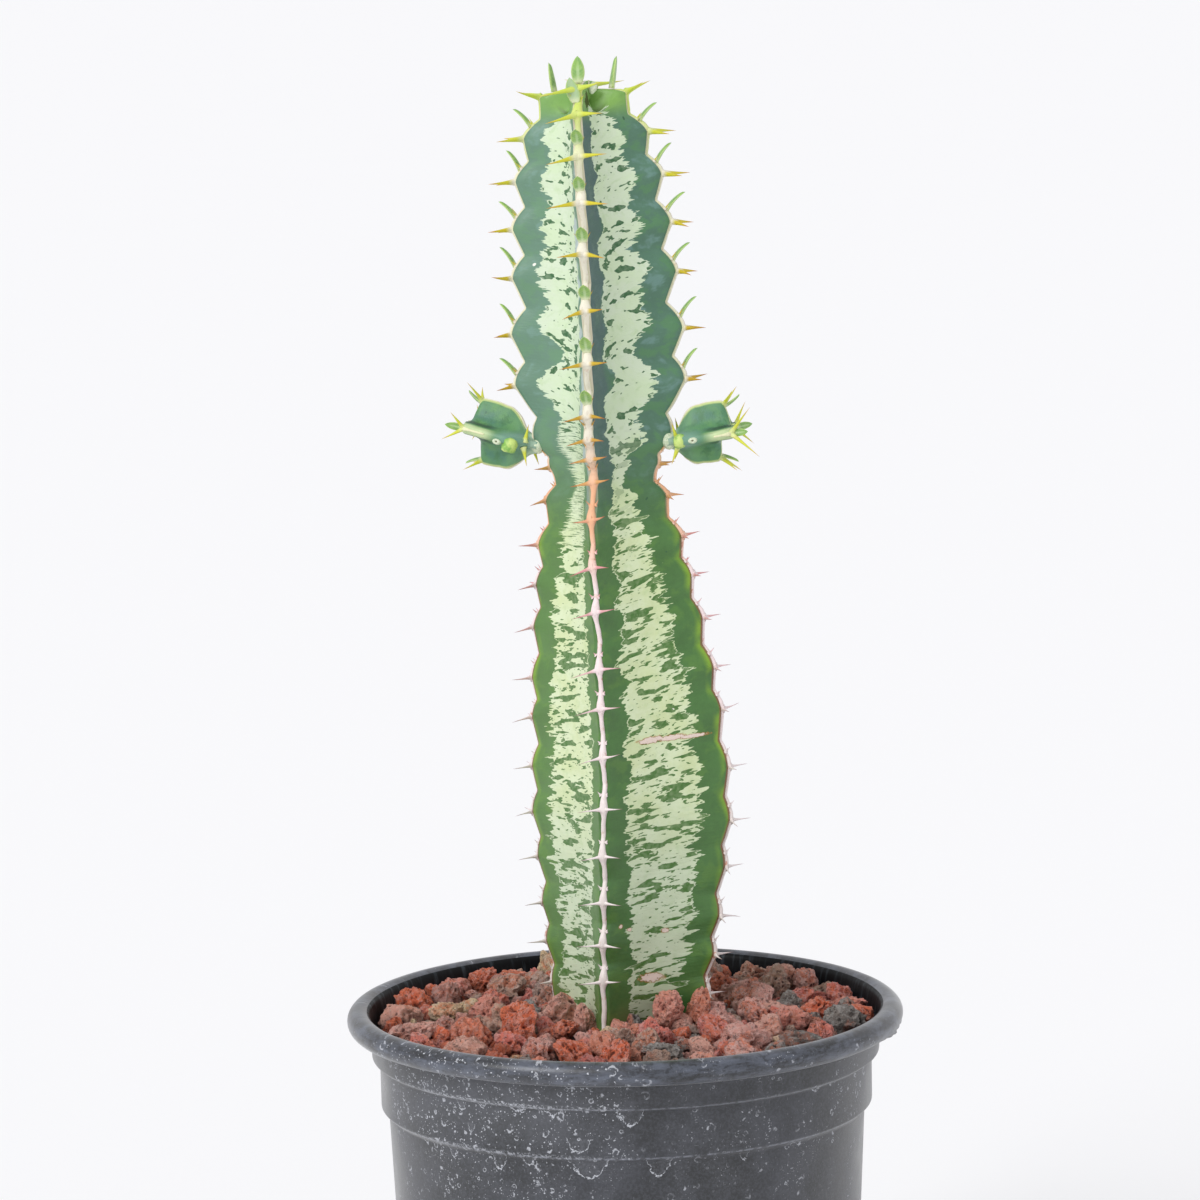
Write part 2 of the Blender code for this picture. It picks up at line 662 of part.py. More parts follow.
def stone_places():
    """Centres, sizes and turns of the gravel stones: seeded throws that keep their distance, some
    of them against the pot's wall."""
    random = np.random.default_rng(STONE_SEED)
    stones = []
    for _ in range(STONE_TRIES):
        size = random.uniform(*STONE_SIZE)
        outermost = GRAVEL_RADIUS - STONE_WALL_ROOM * size
        radius = math.sqrt(random.uniform(STONE_INNER**2, outermost**2))
        if random.uniform() < STONE_WALL_SHARE:
            radius = outermost
        angle = random.uniform(0, 2 * math.pi)
        axes = np.array([random.uniform(*limits) for limits in STONE_SHAPE]) * size / 2
        turn = random.normal(size=4)
        bumps = random.uniform(-1, 1, 12)
        height = float(gravel_height(radius)) + random.uniform(-STONE_STAGGER, STONE_STAGGER)
        centre = np.array([radius * math.cos(angle), radius * math.sin(angle), height])
        clear = all(
            np.hypot(*(centre - other)[:2]) > STONE_PACKING * (size + width) / 2
            for other, width, *_ in stones
        )
        if clear:
            stones.append((centre, size, axes, turn / np.linalg.norm(turn), bumps))
    return stones


def quaternion_matrix(turn):
    w, x, y, z = turn
    return np.array([
        [1 - 2 * (y * y + z * z), 2 * (x * y - w * z), 2 * (x * z + w * y)],
        [2 * (x * y + w * z), 1 - 2 * (x * x + z * z), 2 * (y * z - w * x)],
        [2 * (x * z - w * y), 2 * (y * z + w * x), 1 - 2 * (x * x + y * y)],
    ])


def stone_mesh(centre, axes, turn, bumps):
    """Icosahedron stretched along three axes, with its corners moved in and out."""
    work = bmesh.new()
    bmesh.ops.create_icosphere(work, subdivisions=1, radius=1)
    corners = np.array([vertex.co for vertex in work.verts])
    corners *= (1 + STONE_ROUGHNESS * bumps)[:, None] * axes
    corners = corners @ quaternion_matrix(turn).T + centre
    for vertex, corner in zip(work.verts, corners):
        vertex.co = corner * MM
    mesh = bpy.data.meshes.new("stone")
    work.to_mesh(mesh)
    work.free()
    return mesh


def make_gravel(cutter):
    bed_radius = GRAVEL_RADIUS - 2 * CLEARANCE
    low = SOIL_TOP + CLEARANCE
    profile = [
        (0, GRAVEL_AT_STEM - GRAVEL_BED_DROP),
        (GRAVEL_MOUND_RADIUS, GRAVEL_AT_STEM - GRAVEL_BED_DROP),
        (bed_radius, GRAVEL_AT_WALL - GRAVEL_BED_DROP),
        (bed_radius, COLLAR_FOOT[1] + CLEARANCE),
        (pot_inside(BAND_TOP) - CLEARANCE, BAND_TOP),
        (pot_inside(BAND_TOP) - CLEARANCE, low),
        (0, low),
    ]
    gravel = turned("lava_gravel", profile, "gravel")
    freeze(gravel)
    fuse(gravel, [stone_mesh(centre, *form) for centre, _, *form in stone_places()])
    cut_by(gravel, cutter)
    freeze(gravel)
    keep_largest(gravel)
    return gravel


def shade(target):
    freeze(target)
    target.data.shade_smooth()
    target.data.set_sharp_from_angle(angle=math.radians(SHARP_ANGLE))


def main():
    for old in list(bpy.data.objects):
        bpy.data.objects.remove(old, do_unlink=True)
    stem = stem_column()
    make_stem(stem)
    for rib in range(4):
        make_margin(stem, rib)
    for rib in SHOOT_RISE:
        make_shoot(stem, rib)
    shade(make_pot())
    cutter = make_hole_cutter(stem)
    make_soil(cutter)
    make_gravel(cutter)


main()
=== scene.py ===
"""Looks of a potted columnar euphorbia: a four-ribbed variegated stem with horny rib margins,
paired spines, small leaves and two side shoots, under lava gravel in a dark nursery pot.

The constants and the shape functions work in millimetres, and Surface turns them into metres.
Heights on the stem are measured along its axis from the soil line, the pot's foot is on
Z = 0, and the front of the plant looks along -Y."""

import math

import bmesh
import bpy
import numpy as np
from mathutils import Matrix


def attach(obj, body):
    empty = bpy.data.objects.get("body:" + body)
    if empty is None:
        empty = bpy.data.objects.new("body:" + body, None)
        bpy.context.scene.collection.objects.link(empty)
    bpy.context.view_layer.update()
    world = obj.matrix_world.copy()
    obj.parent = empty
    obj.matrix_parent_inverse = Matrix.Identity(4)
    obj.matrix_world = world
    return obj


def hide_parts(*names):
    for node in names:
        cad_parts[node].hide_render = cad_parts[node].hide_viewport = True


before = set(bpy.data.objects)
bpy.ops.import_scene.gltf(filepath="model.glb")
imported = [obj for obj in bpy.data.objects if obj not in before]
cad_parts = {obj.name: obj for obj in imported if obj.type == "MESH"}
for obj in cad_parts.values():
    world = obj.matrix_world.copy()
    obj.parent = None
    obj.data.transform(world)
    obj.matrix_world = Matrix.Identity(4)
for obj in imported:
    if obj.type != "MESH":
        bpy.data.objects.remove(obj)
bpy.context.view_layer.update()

bl_info = {
    "name": "Potted euphorbia",
    "version": (1, 0, 0),
    "blender": (4, 5, 0),
    "location": "View3D > Sidebar > Euphorbia",
    "description": "Builds the looks of a potted columnar euphorbia round its packed solids",
    "category": "Add Mesh",
}

MM = 0.001
WELD = 0.0000005
ORIGIN = (0.0, 0.0, 0.0)
FRONT, RIGHT, BACK, LEFT = range(4)
RIB_NAMES = ("front", "right", "back", "left")

# Main stem: (height, value) pairs, joined by smooth curves
SOIL_LINE = 118.0
STEM_FOOT = -38.0
STEM_TOP = 234.0
STEM_GIRTH = (
    (-38, 11.0), (-34, 15.5), (-20, 17.8), (0, 19.7), (16, 22.1), (38, 24.5), (52, 25.8),
    (66, 25.2), (86, 23.4), (109, 20.1), (120, 18.2), (130, 15.4), (137.5, 13.6), (144, 17.0),
    (152, 20.2), (160, 21.3), (185, 20.4), (198, 19.6), (209, 18.3), (220, 15.4), (231, 10.4),
    (234, 9.6),
)
STEM_DRIFT = (
    (-38, 0.6), (4, 1.3), (40, 2.4), (62, 2.5), (98, 0.2), (130, -2.2), (160, -3.3),
    (200, -4.7), (234, -6.3),
)
STEM_TWIST = ((-38, 19.0), (0, 19.0), (50, 16.5), (90, 14.5), (135, 13.5), (162, 8.5), (234, 8.0))
STEM_WEDGE = ((-38, 25.0), (112, 25.0), (150, 13.0), (234, 12.0))
STEM_HANDLE = ((-38, 0.5), (112, 0.5), (150, 0.68), (234, 0.7))
STEM_EDGE = 1.15
SIDE_NODES = (
    5.4, 15.8, 25.6, 37.8, 49.5, 62.1, 75.7, 86.0, 98.7, 109.4, 119.3, 130.0, 138.0, 143.7,
    158.8, 171.5, 185.5, 197.7, 209.5, 220.0, 229.9,
)
FACE_NODES = (
    11.2, 20.7, 31.7, 43.7, 55.7, 68.8, 81.0, 90.5, 104.5, 115.3, 126.6, 135.5, 141.4, 146.5,
    152.6, 165.5, 178.3, 192.2, 204.6, 215.7, 225.7, 231.9,
)
SIDE_END = 231.2
FACE_END = 233.2
SHOOT_NODE = 143.7
STEM_NOTCH = ((-38, 0.15), (110, 0.16), (150, 0.24), (234, 0.25))
NOTCH_VALLEY = 0.46
NOTCH_SHOULDER = 1.8
NOTCH_REACH = 0.3
NOTCH_FADE = 1.5
CORE_RADIUS = 1.6
END_ROUNDING = 1.6
FACE_CELLS = 40
ROW_STEP = 0.55
BURIED_STEP = 4.0
SHOWING_FROM = -6.0
PUFF = ((-38, 0.2), (110, 0.35), (150, 0.75), (234, 0.7))
PUFF_HEIGHT = 3.0
PUFF_WIDTH = 5.0
RELIEF = 0.14
FACE_STRIDE = 200.0
FAR = 30.0
APEX_HOLLOW = (224.5, 231.5, 5.0)

# Marks on the skin. A patch has its centre and radii, across and up the unrolled faces, each of
# which starts FACE_STRIDE further across
OLD_TO_YOUNG = (118.0, 152.0)
PINCH_HEIGHT = 167.5
BULGE_HEIGHT = 161.5
# Patch of painted shade in the hollow at the tip
TIP_HOLLOW_SHADE = ((202.4, 229.5), (1.3, 2.4))
CORK_SCARS = (
    ((213.6, 71.0), (3.6, 0.75)), ((219.3, 70.8), (3.9, 0.65)), ((225.6, 70.4), (3.8, 0.45)),
    ((213.5, 10.9), (3.2, 1.1)), ((217.2, 22.8), (1.0, 0.6)), ((203.6, 25.0), (0.6, 0.5)),
    ((206.5, 24.0), (0.7, 0.4)), ((835.0, 36.0), (0.8, 0.8)), ((437.0, 88.0), (4.5, 1.2)),
    ((622.0, 52.0), (3.0, 1.4)),
)

# Horny margin with its spine pairs, prickles and leaves
MARGIN_FOOT = -9.0
MARGIN_STEP = 0.5
MARGIN_SUNK = 0.7
MARGIN_SHARE = ((0, 0.86), (60, 0.8), (120, 0.84), (150, 1.0), (234, 1.05))
MARGIN_TAPER = 1.4
MARGIN_SWAY = ((0, 0.16), (120, 0.2), (160, 0.32), (234, 0.3))
SIDE_MARGIN = (0.92, 0.72, 0.7)
LEAVES_ABOVE = 150.0
SPINE_LENGTH = ((0, 6.4), (110, 6.4), (136, 5.6), (158, 7.0), (192, 7.6), (204, 9.4), (234, 10.4))
SIDE_SPINES = ((0, 1.0), (150, 1.0), (200, 0.9), (234, 0.78))
SPINE_ROLL = ((0, 3.0), (180, 2.0), (204, -1.0), (216, 4.0), (226, 8.0), (234, 3.0))
SPINE_SPREAD = ((0, 62.0), (120, 60.0), (158, 52.0), (234, 48.0))
SPINE_RISE = ((0, 0.0), (190, 0.0), (215, 0.0), (223, 6.0), (230, 24.0), (234, 28.0))
SPINE_SHARES = (0.0, 0.06, 0.12, 0.2, 0.32, 0.5, 0.72, 0.9, 1.0)
SPINE_THICK = ((0, 0.4), (110, 0.44), (130, 0.56), (155, 0.68), (234, 0.76))
SPINE_FLARE = ((0, 0.8), (100, 1.05), (125, 0.9), (150, 0.45), (234, 0.4))
SPINE_SIDES = 8
PRICKLE_LIFT = ((0, 3.5), (120, 3.4), (150, 3.2), (234, 3.2))
PRICKLE_LENGTH = ((0, 1.5), (110, 1.8), (150, 2.7), (234, 2.7))
LEAF_LIFT = 2.7

# Side shoots: short four-ribbed stems on thin necks
SHOOT_GIRTH = ((0, 2.2), (1.5, 3.2), (3, 5.2), (5.4, 7.5), (8, 8.1), (11, 8.0), (17, 6.6))
SHOOT_FOOT = -0.6
SHOOT_UPPER_DELAY = {LEFT: 2.0, RIGHT: 1.4}
SHOOT_LENGTH_SHARE = {LEFT: 1.12, RIGHT: 1.0}
SHOOT_LOWER_SHARE = {LEFT: 1.0, RIGHT: 0.86}
SHOOT_NODES = {"face": (3.6, 15.8), "upper": (3.6, 14.6), "lower": (3.6, 11.6)}
SHOOT_ENDS = {"face": 16.8, "upper": 15.6, "lower": 12.6}
SHOOT_WEDGE = 15.0
SHOOT_HANDLE = 0.68
SHOOT_EDGE = 0.85
SHOOT_NOTCH = 0.04
SHOOT_RISE = {LEFT: 13.0, RIGHT: 9.0}
SHOOT_SWING = {LEFT: 8.0, RIGHT: -6.0}
SHOOT_SPINE_LENGTH = 6.6
SHOOT_SPINE_SHARE = {LEFT: 1.0, RIGHT: 1.3}
SHOOT_BASE_SPINE_HEIGHT = 2.2
SHOOT_BASE_SPINE_LENGTH = 5.0
SHOOT_LEAF_LENGTH = 4.6
SHOOT_BUD = {LEFT: 5.0, RIGHT: 3.0}
SHOOT_SCAR = {LEFT: 8.0, RIGHT: 6.4}
SHOOT_BUD_SHARE = {LEFT: (0.95, 1.2), RIGHT: (0.8, 0.0)}
SHOOT_COLOUR_HEIGHT = 205.0
TIP_HUSK = (2.6, -4.6, -1.6)
SHOOT_SPINE_HEIGHT = 222.0

# Nursery pot
POT_WALL = 1.5
LIP_CENTRE = (67.0, 116.9)
LIP_RADIUS = 3.0
COLLAR_TOP_RADIUS = 64.4
COLLAR_FOOT = (63.9, 107.6)
BAND_RADIUS = 62.0
BAND_TOP = 106.5
BAND_FOOT = 95.0
WALL_TOP = (60.1, 93.5)
WALL_FOOT = (55.8, 1.4)
FOOT_CHAMFER = 1.0
FOOT_RING_WIDTH = 3.0
RECESS_DEPTH = 3.0
FLOOR_THICKNESS = 1.8
DRAIN_HOLES = 6
DRAIN_SIDES = 32
DRAIN_RADIUS = 3.5
DRAIN_CIRCLE = 37.0
POT_CORNER = 0.45
BURR_PLACE = (-13.5, 8.0)
# Dots and rings: pitch, share of the cells, size, richness of the lime where they begin, strength
LIME_DOTS = ((0.55, 0.36, 0.3, 0.3, 0.7), (0.95, 0.34, 0.24, 0.28, 0.95), (1.9, 0.26, 0.16, 0.2, 1.0))
LIME_RINGS = ((3.4, 0.32, 0.32, 0.2), (1.8, 0.42, 0.34, 0.3))
# Crusts: height and strength
LIME_STEPS = ((107.4, 0.9), (94.8, 0.6))
# Heights of the edges with pale lines, partly worn and partly painted highlight
WORN_AND_LIT_EDGES = (107.2, 94.7, 113.9)
# Drips: middle, top, half width and length
DRIPS = (
    (-53.0, 108.0, 2.2, 1.2), (-44.0, 107.5, 1.5, 3.4), (-37.5, 107.2, 1.3, 1.6),
    (-27.5, 107.6, 2.6, 1.7), (-18.5, 107.4, 2.4, 2.4), (0.6, 107.2, 3.4, 4.2),
    (-60.0, 94.6, 1.2, 1.8), (-56.0, 94.5, 1.4, 2.0), (-49.0, 94.4, 1.7, 3.2),
    (-34.0, 94.4, 2.4, 4.2), (-25.6, 94.4, 2.0, 2.4), (-10.0, 94.4, 5.0, 5.0),
    (7.5, 94.4, 3.4, 4.4), (30.0, 94.4, 1.2, 2.6), (-41.0, 101.5, 1.2, 2.2),
    (-12.0, 99.8, 3.4, 3.4), (52.0, 107.4, 2.0, 1.4), (96.0, 94.4, 3.0, 3.6),
    (140.0, 107.4, 2.6, 3.0), (-120.0, 94.4, 3.2, 4.0), (-150.0, 107.4, 2.0, 2.6),
)

# Lava gravel
GRAVEL_AT_STEM = 116.2
GRAVEL_AT_WALL = 115.2
GRAVEL_RADIUS = 62.4
GRAVEL_MOUND_RADIUS = 20.0
BED_SHOULDER = 108.6
BED_FOOT = 106.0
# Heights over which painted shade darkens the stones' lower parts
LOW_STONE_SHADE = (118.2, 114.4)
STONE_SEED = 11
STONE_TRIES = 2600
STONE_SIZE = (7.5, 13.0)
STONE_PACKING = 1.0
STONE_SHAPE = ((0.92, 1.1), (0.74, 0.95), (0.6, 0.8))
STONE_ROUGHNESS = 0.2
STONE_INNER = 13.0
STONE_WALL_SHARE = 0.35
STONE_WALL_ROOM = 0.5
STONE_STAGGER = 0.8
STONE_CELLS = 19
STONE_PLANES = 11
STONE_OFFSETS = (0.7, 1.02)
STONE_SHARPNESS = 22
STONE_CREASE = 34.0
STONE_HOLLOWS = 26
HOLLOW_SPANS = (0.12, 0.3)
CHIP_SEED = 5
CHIP_TRIES = 5200
CHIP_SIZE = (3.0, 6.5)
CHIP_CELLS = 7
LAVA_KINDS = ("orange", "brick", "pink", "brown", "grey", "cream")
LAVA_SHARES = (0.23, 0.24, 0.22, 0.16, 0.11, 0.04)
# Pits, darkened by painted shade: scale, reach inside and outside the rim, scale of the crowds
LAVA_PITS = ((2.6, 0.3, 0.2, 0.3), (1.3, 0.28, 0.12, 0.27), (0.55, 0.3, 0.14, 0.22))
UPRIGHT_STONES = (
    ((10.8, -16.0, 120.9), (3.6, 3.2, 4.4), "brick"),
    ((18.4, -13.6, 120.6), (2.5, 2.7, 4.8), "orange"),
)


def srgb(red, green, blue):
    """Linear colour of an 8-bit display colour."""
    share = np.array([red, green, blue]) / 255
    linear = np.where(share <= 0.04045, share / 12.92, ((share + 0.055) / 1.055) ** 2.4)
    return tuple(float(value) for value in linear)


def shaded(tone, share, lift=0.0):
    return tuple(share * value + lift for value in tone)


def around(radius, angle, height):
    """Point at an angle round the Z axis."""
    return np.array([radius * math.cos(angle), radius * math.sin(angle), height])


def leaning(rise, out, up):
    """Direction at an angle above the outward one, and the direction square to it."""
    return math.cos(rise) * out + math.sin(rise) * up, math.sin(rise) * out - math.cos(rise) * up


def length(label, text, millimetres):
    return bpy.props.FloatProperty(
        name=label, description=text, default=millimetres * MM, min=0.0, unit="LENGTH", precision=5
    )


def share(label, text, default):
    return bpy.props.FloatProperty(
        name=label, description=text, default=default, min=0.0, max=1.0, subtype="FACTOR"
    )


def colour(label, text, red, green, blue):
    return bpy.props.FloatVectorProperty(
        name=label, description=text, default=srgb(red, green, blue), min=0.0, max=1.0, size=3,
        subtype="COLOR",
    )


class PotSettings(bpy.types.PropertyGroup):
    plastic: colour("Plastic", "Colour of the moulded pot", 26, 28, 31)
    scuffed: colour("Scuffed plastic", "Colour of the pot where handling has dulled it", 46, 48, 55)
    lime: colour("Lime", "Colour of the dried water marks", 205, 208, 216)
    lime_amount: share("Lime amount", "How much of the wall the dried dots cover", 0.5)
    turns: bpy.props.IntProperty(
        name="Turns", description="Segments round the pot", default=224, min=32, max=400
    )
    lip_wobble: length("Lip wobble", "How far the soft lip strays from a true circle", 0.22)
    burr: length("Burr", "How far the frayed burr stands out of the lip", 0.9)


class GravelSettings(bpy.types.PropertyGroup):
    orange: colour("Orange lava", "Colour of the brightest stones", 228, 112, 72)
    brick: colour("Brick lava", "Colour of the red stones", 206, 112, 98)
    pink: colour("Pink lava", "Colour of the pinkish stones", 226, 162, 148)
    brown: colour("Brown lava", "Colour of the grey-brown stones", 176, 140, 122)
    grey: colour("Grey lava", "Colour of the dark stones", 122, 114, 108)
    cream: colour("Cream stone", "Colour of the few pale stones", 236, 204, 160)
    bed: colour("Bed", "Colour of the grit between the stones", 62, 44, 40)
    jaggedness: share("Jaggedness", "Depth of the lumps, as a share of a stone's radius", 0.25)


class SkinSettings(bpy.types.PropertyGroup):
    teal: colour("Upper green", "Dark zones of the upper growth", 84, 124, 102)
    grass: colour("Lower green", "Dark zones of the older growth", 68, 108, 54)
    young: colour("Young green", "Tops of the youngest ribs", 132, 178, 82)
    pale_upper: colour("Upper pale band", "Variegation of the upper growth", 208, 226, 190)
    pale_lower: colour("Lower pale band", "Variegation of the older growth", 206, 219, 168)
    lime: colour("Lime edge", "Glow of the green beside an old margin", 150, 190, 40)
    cork: colour("Cork", "Scars on the skin", 232, 212, 200)
    front_lower: length("Lower front band", "Dark green beside the front rib low on the stem", 5.8)
    front_upper: length("Upper front band", "Dark green beside the front rib high on the stem", 7.6)
    side_lower: length("Lower side band", "Dark green beside a side rib low on the stem", 7.3)
    side_upper: length("Upper side band", "Dark green beside a side rib high on the stem", 7.0)


class HornSettings(bpy.types.PropertyGroup):
    width: length("Margin width", "Width of the young horny margin between two nodes", 1.4)
    shield: length("Shield width", "Width of the young margin at a spine pair", 2.8)
    height: length("Margin height", "How far the margin stands out of the skin", 0.7)
    bone: colour("Old horn", "Margin at the foot of the stem", 232, 222, 218)
    rose: colour("Rose horn", "Margin half-way up the old growth", 240, 222, 222)
    peach: colour("Peach horn", "Margin at the waist of the stem", 238, 182, 142)
    cream: colour("Young horn", "Margin of the upper growth", 236, 230, 212)
    lime: colour("Newest horn", "Margin at the top of the stem", 208, 224, 112)


class LeafSettings(bpy.types.PropertyGroup):
    blade: colour("Blade", "Colour of the small leaves", 126, 172, 96)
    keel: colour("Keel", "Colour of their midribs", 196, 220, 170)
    size: length("Leaf length", "Length of a leaf on the ribs", 6.2)
    top_size: length("Top leaf length", "Length of a leaf at the growing tip", 7.6)
    width: length("Leaf width", "Widest part of a leaf", 2.5)


class ShootSettings(bpy.types.PropertyGroup):
    green: colour("Shoot green", "Flanks of the side shoots", 76, 126, 102)
    fresh: colour("Fresh green", "Green near the shoots' margins", 98, 150, 92)
    bud: colour("Bud", "Colour of the lime buds", 208, 228, 132)


class StageSettings(bpy.types.PropertyGroup):
    floor: colour("Floor", "Colour of the pale floor", 247, 247, 248)
    sky: colour("Surroundings", "Colour of the studio's even light", 252, 252, 254)
    sky_strength: bpy.props.FloatProperty(
        name="Surroundings' strength", description="Strength of the even light", default=0.74
    )
    key_strength: bpy.props.FloatProperty(
        name="Key light", description="Strength of the soft light from the front left", default=1.55
    )
    key_spread: bpy.props.FloatProperty(
        name="Key spread", description="Angle that the soft light fills", unit="ROTATION",
        default=math.radians(32),
    )
    key_from: bpy.props.FloatVectorProperty(
        name="Key direction", description="Way from the plant to the soft light", subtype="XYZ",
        default=(-0.66, -0.75, 0.8),
    )
    lens: bpy.props.FloatProperty(
        name="Lens", description="Focal length of the camera in millimetres", default=150.0
    )
    place: bpy.props.FloatVectorProperty(
        name="Camera", description="Place of the camera", subtype="XYZ", unit="LENGTH",
        default=(-0.004366, -1.23599, 0.39401), precision=5,
    )
    pitch: bpy.props.FloatProperty(
        name="Pitch", description="How far the camera looks down", unit="ROTATION",
        default=math.radians(7.91),
    )
    roll: bpy.props.FloatProperty(
        name="Roll", description="How far the camera leans to one side", unit="ROTATION",
        default=math.radians(1.1),
    )


def smooth(knots, at):
    """Height-to-value curve through the knots: a cubic between two, its slopes from the neighbours."""
    where, value = np.array(knots, float).T
    slope = np.gradient(value, where)
    low = np.clip(np.searchsorted(where, at, side="right") - 1, 0, len(where) - 2)
    span = where[low + 1] - where[low]
    part = np.clip((at - where[low]) / span, 0, 1)
    rest = 1 - part
    ends = (1 + 2 * part) * rest**2 * value[low] + part**2 * (3 - 2 * part) * value[low + 1]
    return ends + span * part * rest * (rest * slope[low] - part * slope[low + 1])


def level(knots, height):
    """One number of the curve through the knots."""
    return float(smooth(knots, height))


def step(value, low, high):
    """0 below low, 1 above high, and 3x^2 - 2x^3 between."""
    part = np.clip((value - low) / (high - low), 0, 1)
    return part * part * (3 - 2 * part)


def unit(vector):
    return vector / np.maximum(np.linalg.norm(vector, axis=-1, keepdims=True), 1e-12)


def hashed(cells, seed):
    """A number from -1 to 1 for each cell of a lattice, from its mixed whole-number coordinates."""
    mixed = cells[..., 0] * 73856093 ^ cells[..., 1] * 19349663 ^ cells[..., 2] * 83492791
    mixed = (mixed ^ seed * 2654435761) & 0xFFFFFFFF
    mixed = ((mixed ^ (mixed >> 13)) * 1274126177) & 0xFFFFFFFF
    return ((mixed ^ (mixed >> 16)) & 0xFFFF) / 32767.5 - 1


def lattice_noise(points, seed=0):
    """Smooth noise from -1 to 1: the hashed numbers at a cell's eight corners, weighted by 3x^2 - 2x^3
    along each axis."""
    low = np.floor(points).astype(np.int64)
    part = points - low
    part = part * part * (3 - 2 * part)
    total = np.zeros(points.shape[:-1])
    for corner in np.ndindex(2, 2, 2):
        weight = np.prod(np.where(corner, part, 1 - part), axis=-1)
        total += weight * hashed(low + np.array(corner), seed)
    return total


def rough(points, octaves, seed=0):
    """Sum of lattice noises, each twice as fine and half as high as the one before."""
    return sum(lattice_noise(points * 2**k, seed + k) / 2**k for k in range(octaves))


class Surface:
    """Collects grids of points, in millimetres, with their values, and makes one welded mesh."""

    def __init__(self):
        self.points = []
        self.faces = []
        self.values = {}
        self.count = 0

    def add(self, points, faces=None, **values):
        """Takes a grid of rows x columns x 3 points, or loose points with their faces. A value is
        a number, one number a point, or a pair of numbers a point."""
        if faces is None:
            rows, columns = points.shape[:2]
            first = np.arange(rows * columns).reshape(rows, columns)
            corners = (first[:-1, :-1], first[:-1, 1:], first[1:, 1:], first[1:, :-1])
            faces = np.stack(corners, -1).reshape(-1, 4)
            points = points.reshape(-1, 3)
        self.points.append(points)
        self.faces.append(faces + self.count)
        for name, value in values.items():
            size = 2 if name.endswith("_map") else 1
            value = np.asarray(value, float)
            if value.ndim > 1 or (value.ndim == 1 and size == 1 and value.size == len(points)):
                value = value.reshape(-1, size)
            full = np.broadcast_to(value, (len(points), size))
            self.values.setdefault(name, []).append(full)
        self.count += len(points)

    def close(self, ring, **values):
        """Closes a ring of points with a fan to their middle."""
        pole = np.broadcast_to(ring.mean(axis=0), ring.shape)
        self.add(np.stack([ring, pole]), **values)

    def shape(self, name):
        """Makes the mesh's object: pairs become UV maps, single numbers become attributes of the
        points, and points that coincide become one."""
        points = np.concatenate(self.points)
        faces = np.concatenate(self.faces)
        mesh = bpy.data.meshes.new(name)
        mesh.from_pydata((points * MM).tolist(), [], faces.tolist())
        corner = np.zeros(len(mesh.loops), int)
        mesh.loops.foreach_get("vertex_index", corner)
        for label, value in self.values.items():
            value = np.concatenate(value)
            if label.endswith("_map"):
                layer = mesh.uv_layers.new(name=label)
                layer.uv.foreach_set("vector", value[corner].astype(np.float32).ravel())
            else:
                layer = mesh.attributes.new(label, "FLOAT", "POINT")
                layer.data.foreach_set("value", value.astype(np.float32).ravel())
        work = bmesh.new()
        work.from_mesh(mesh)
        bmesh.ops.remove_doubles(work, verts=work.verts, dist=WELD)
        bmesh.ops.recalc_face_normals(work, faces=work.faces)
        work.to_mesh(mesh)
        work.free()
        mesh.shade_smooth()
        return linked(name, mesh)

    def finish(self, name, material, slot, *nodes):
        """Makes a piece that rides on the plant's one body and stands for its CAD nodes."""
        piece = self.shape(name)
        piece.data.materials.append(material)
        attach(piece, "root")
        if nodes:
            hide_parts(*nodes)
        return piece


def linked(name, data):
    """New object in the scene."""
    made = bpy.data.objects.new(name, data)
    bpy.context.scene.collection.objects.link(made)
    return made


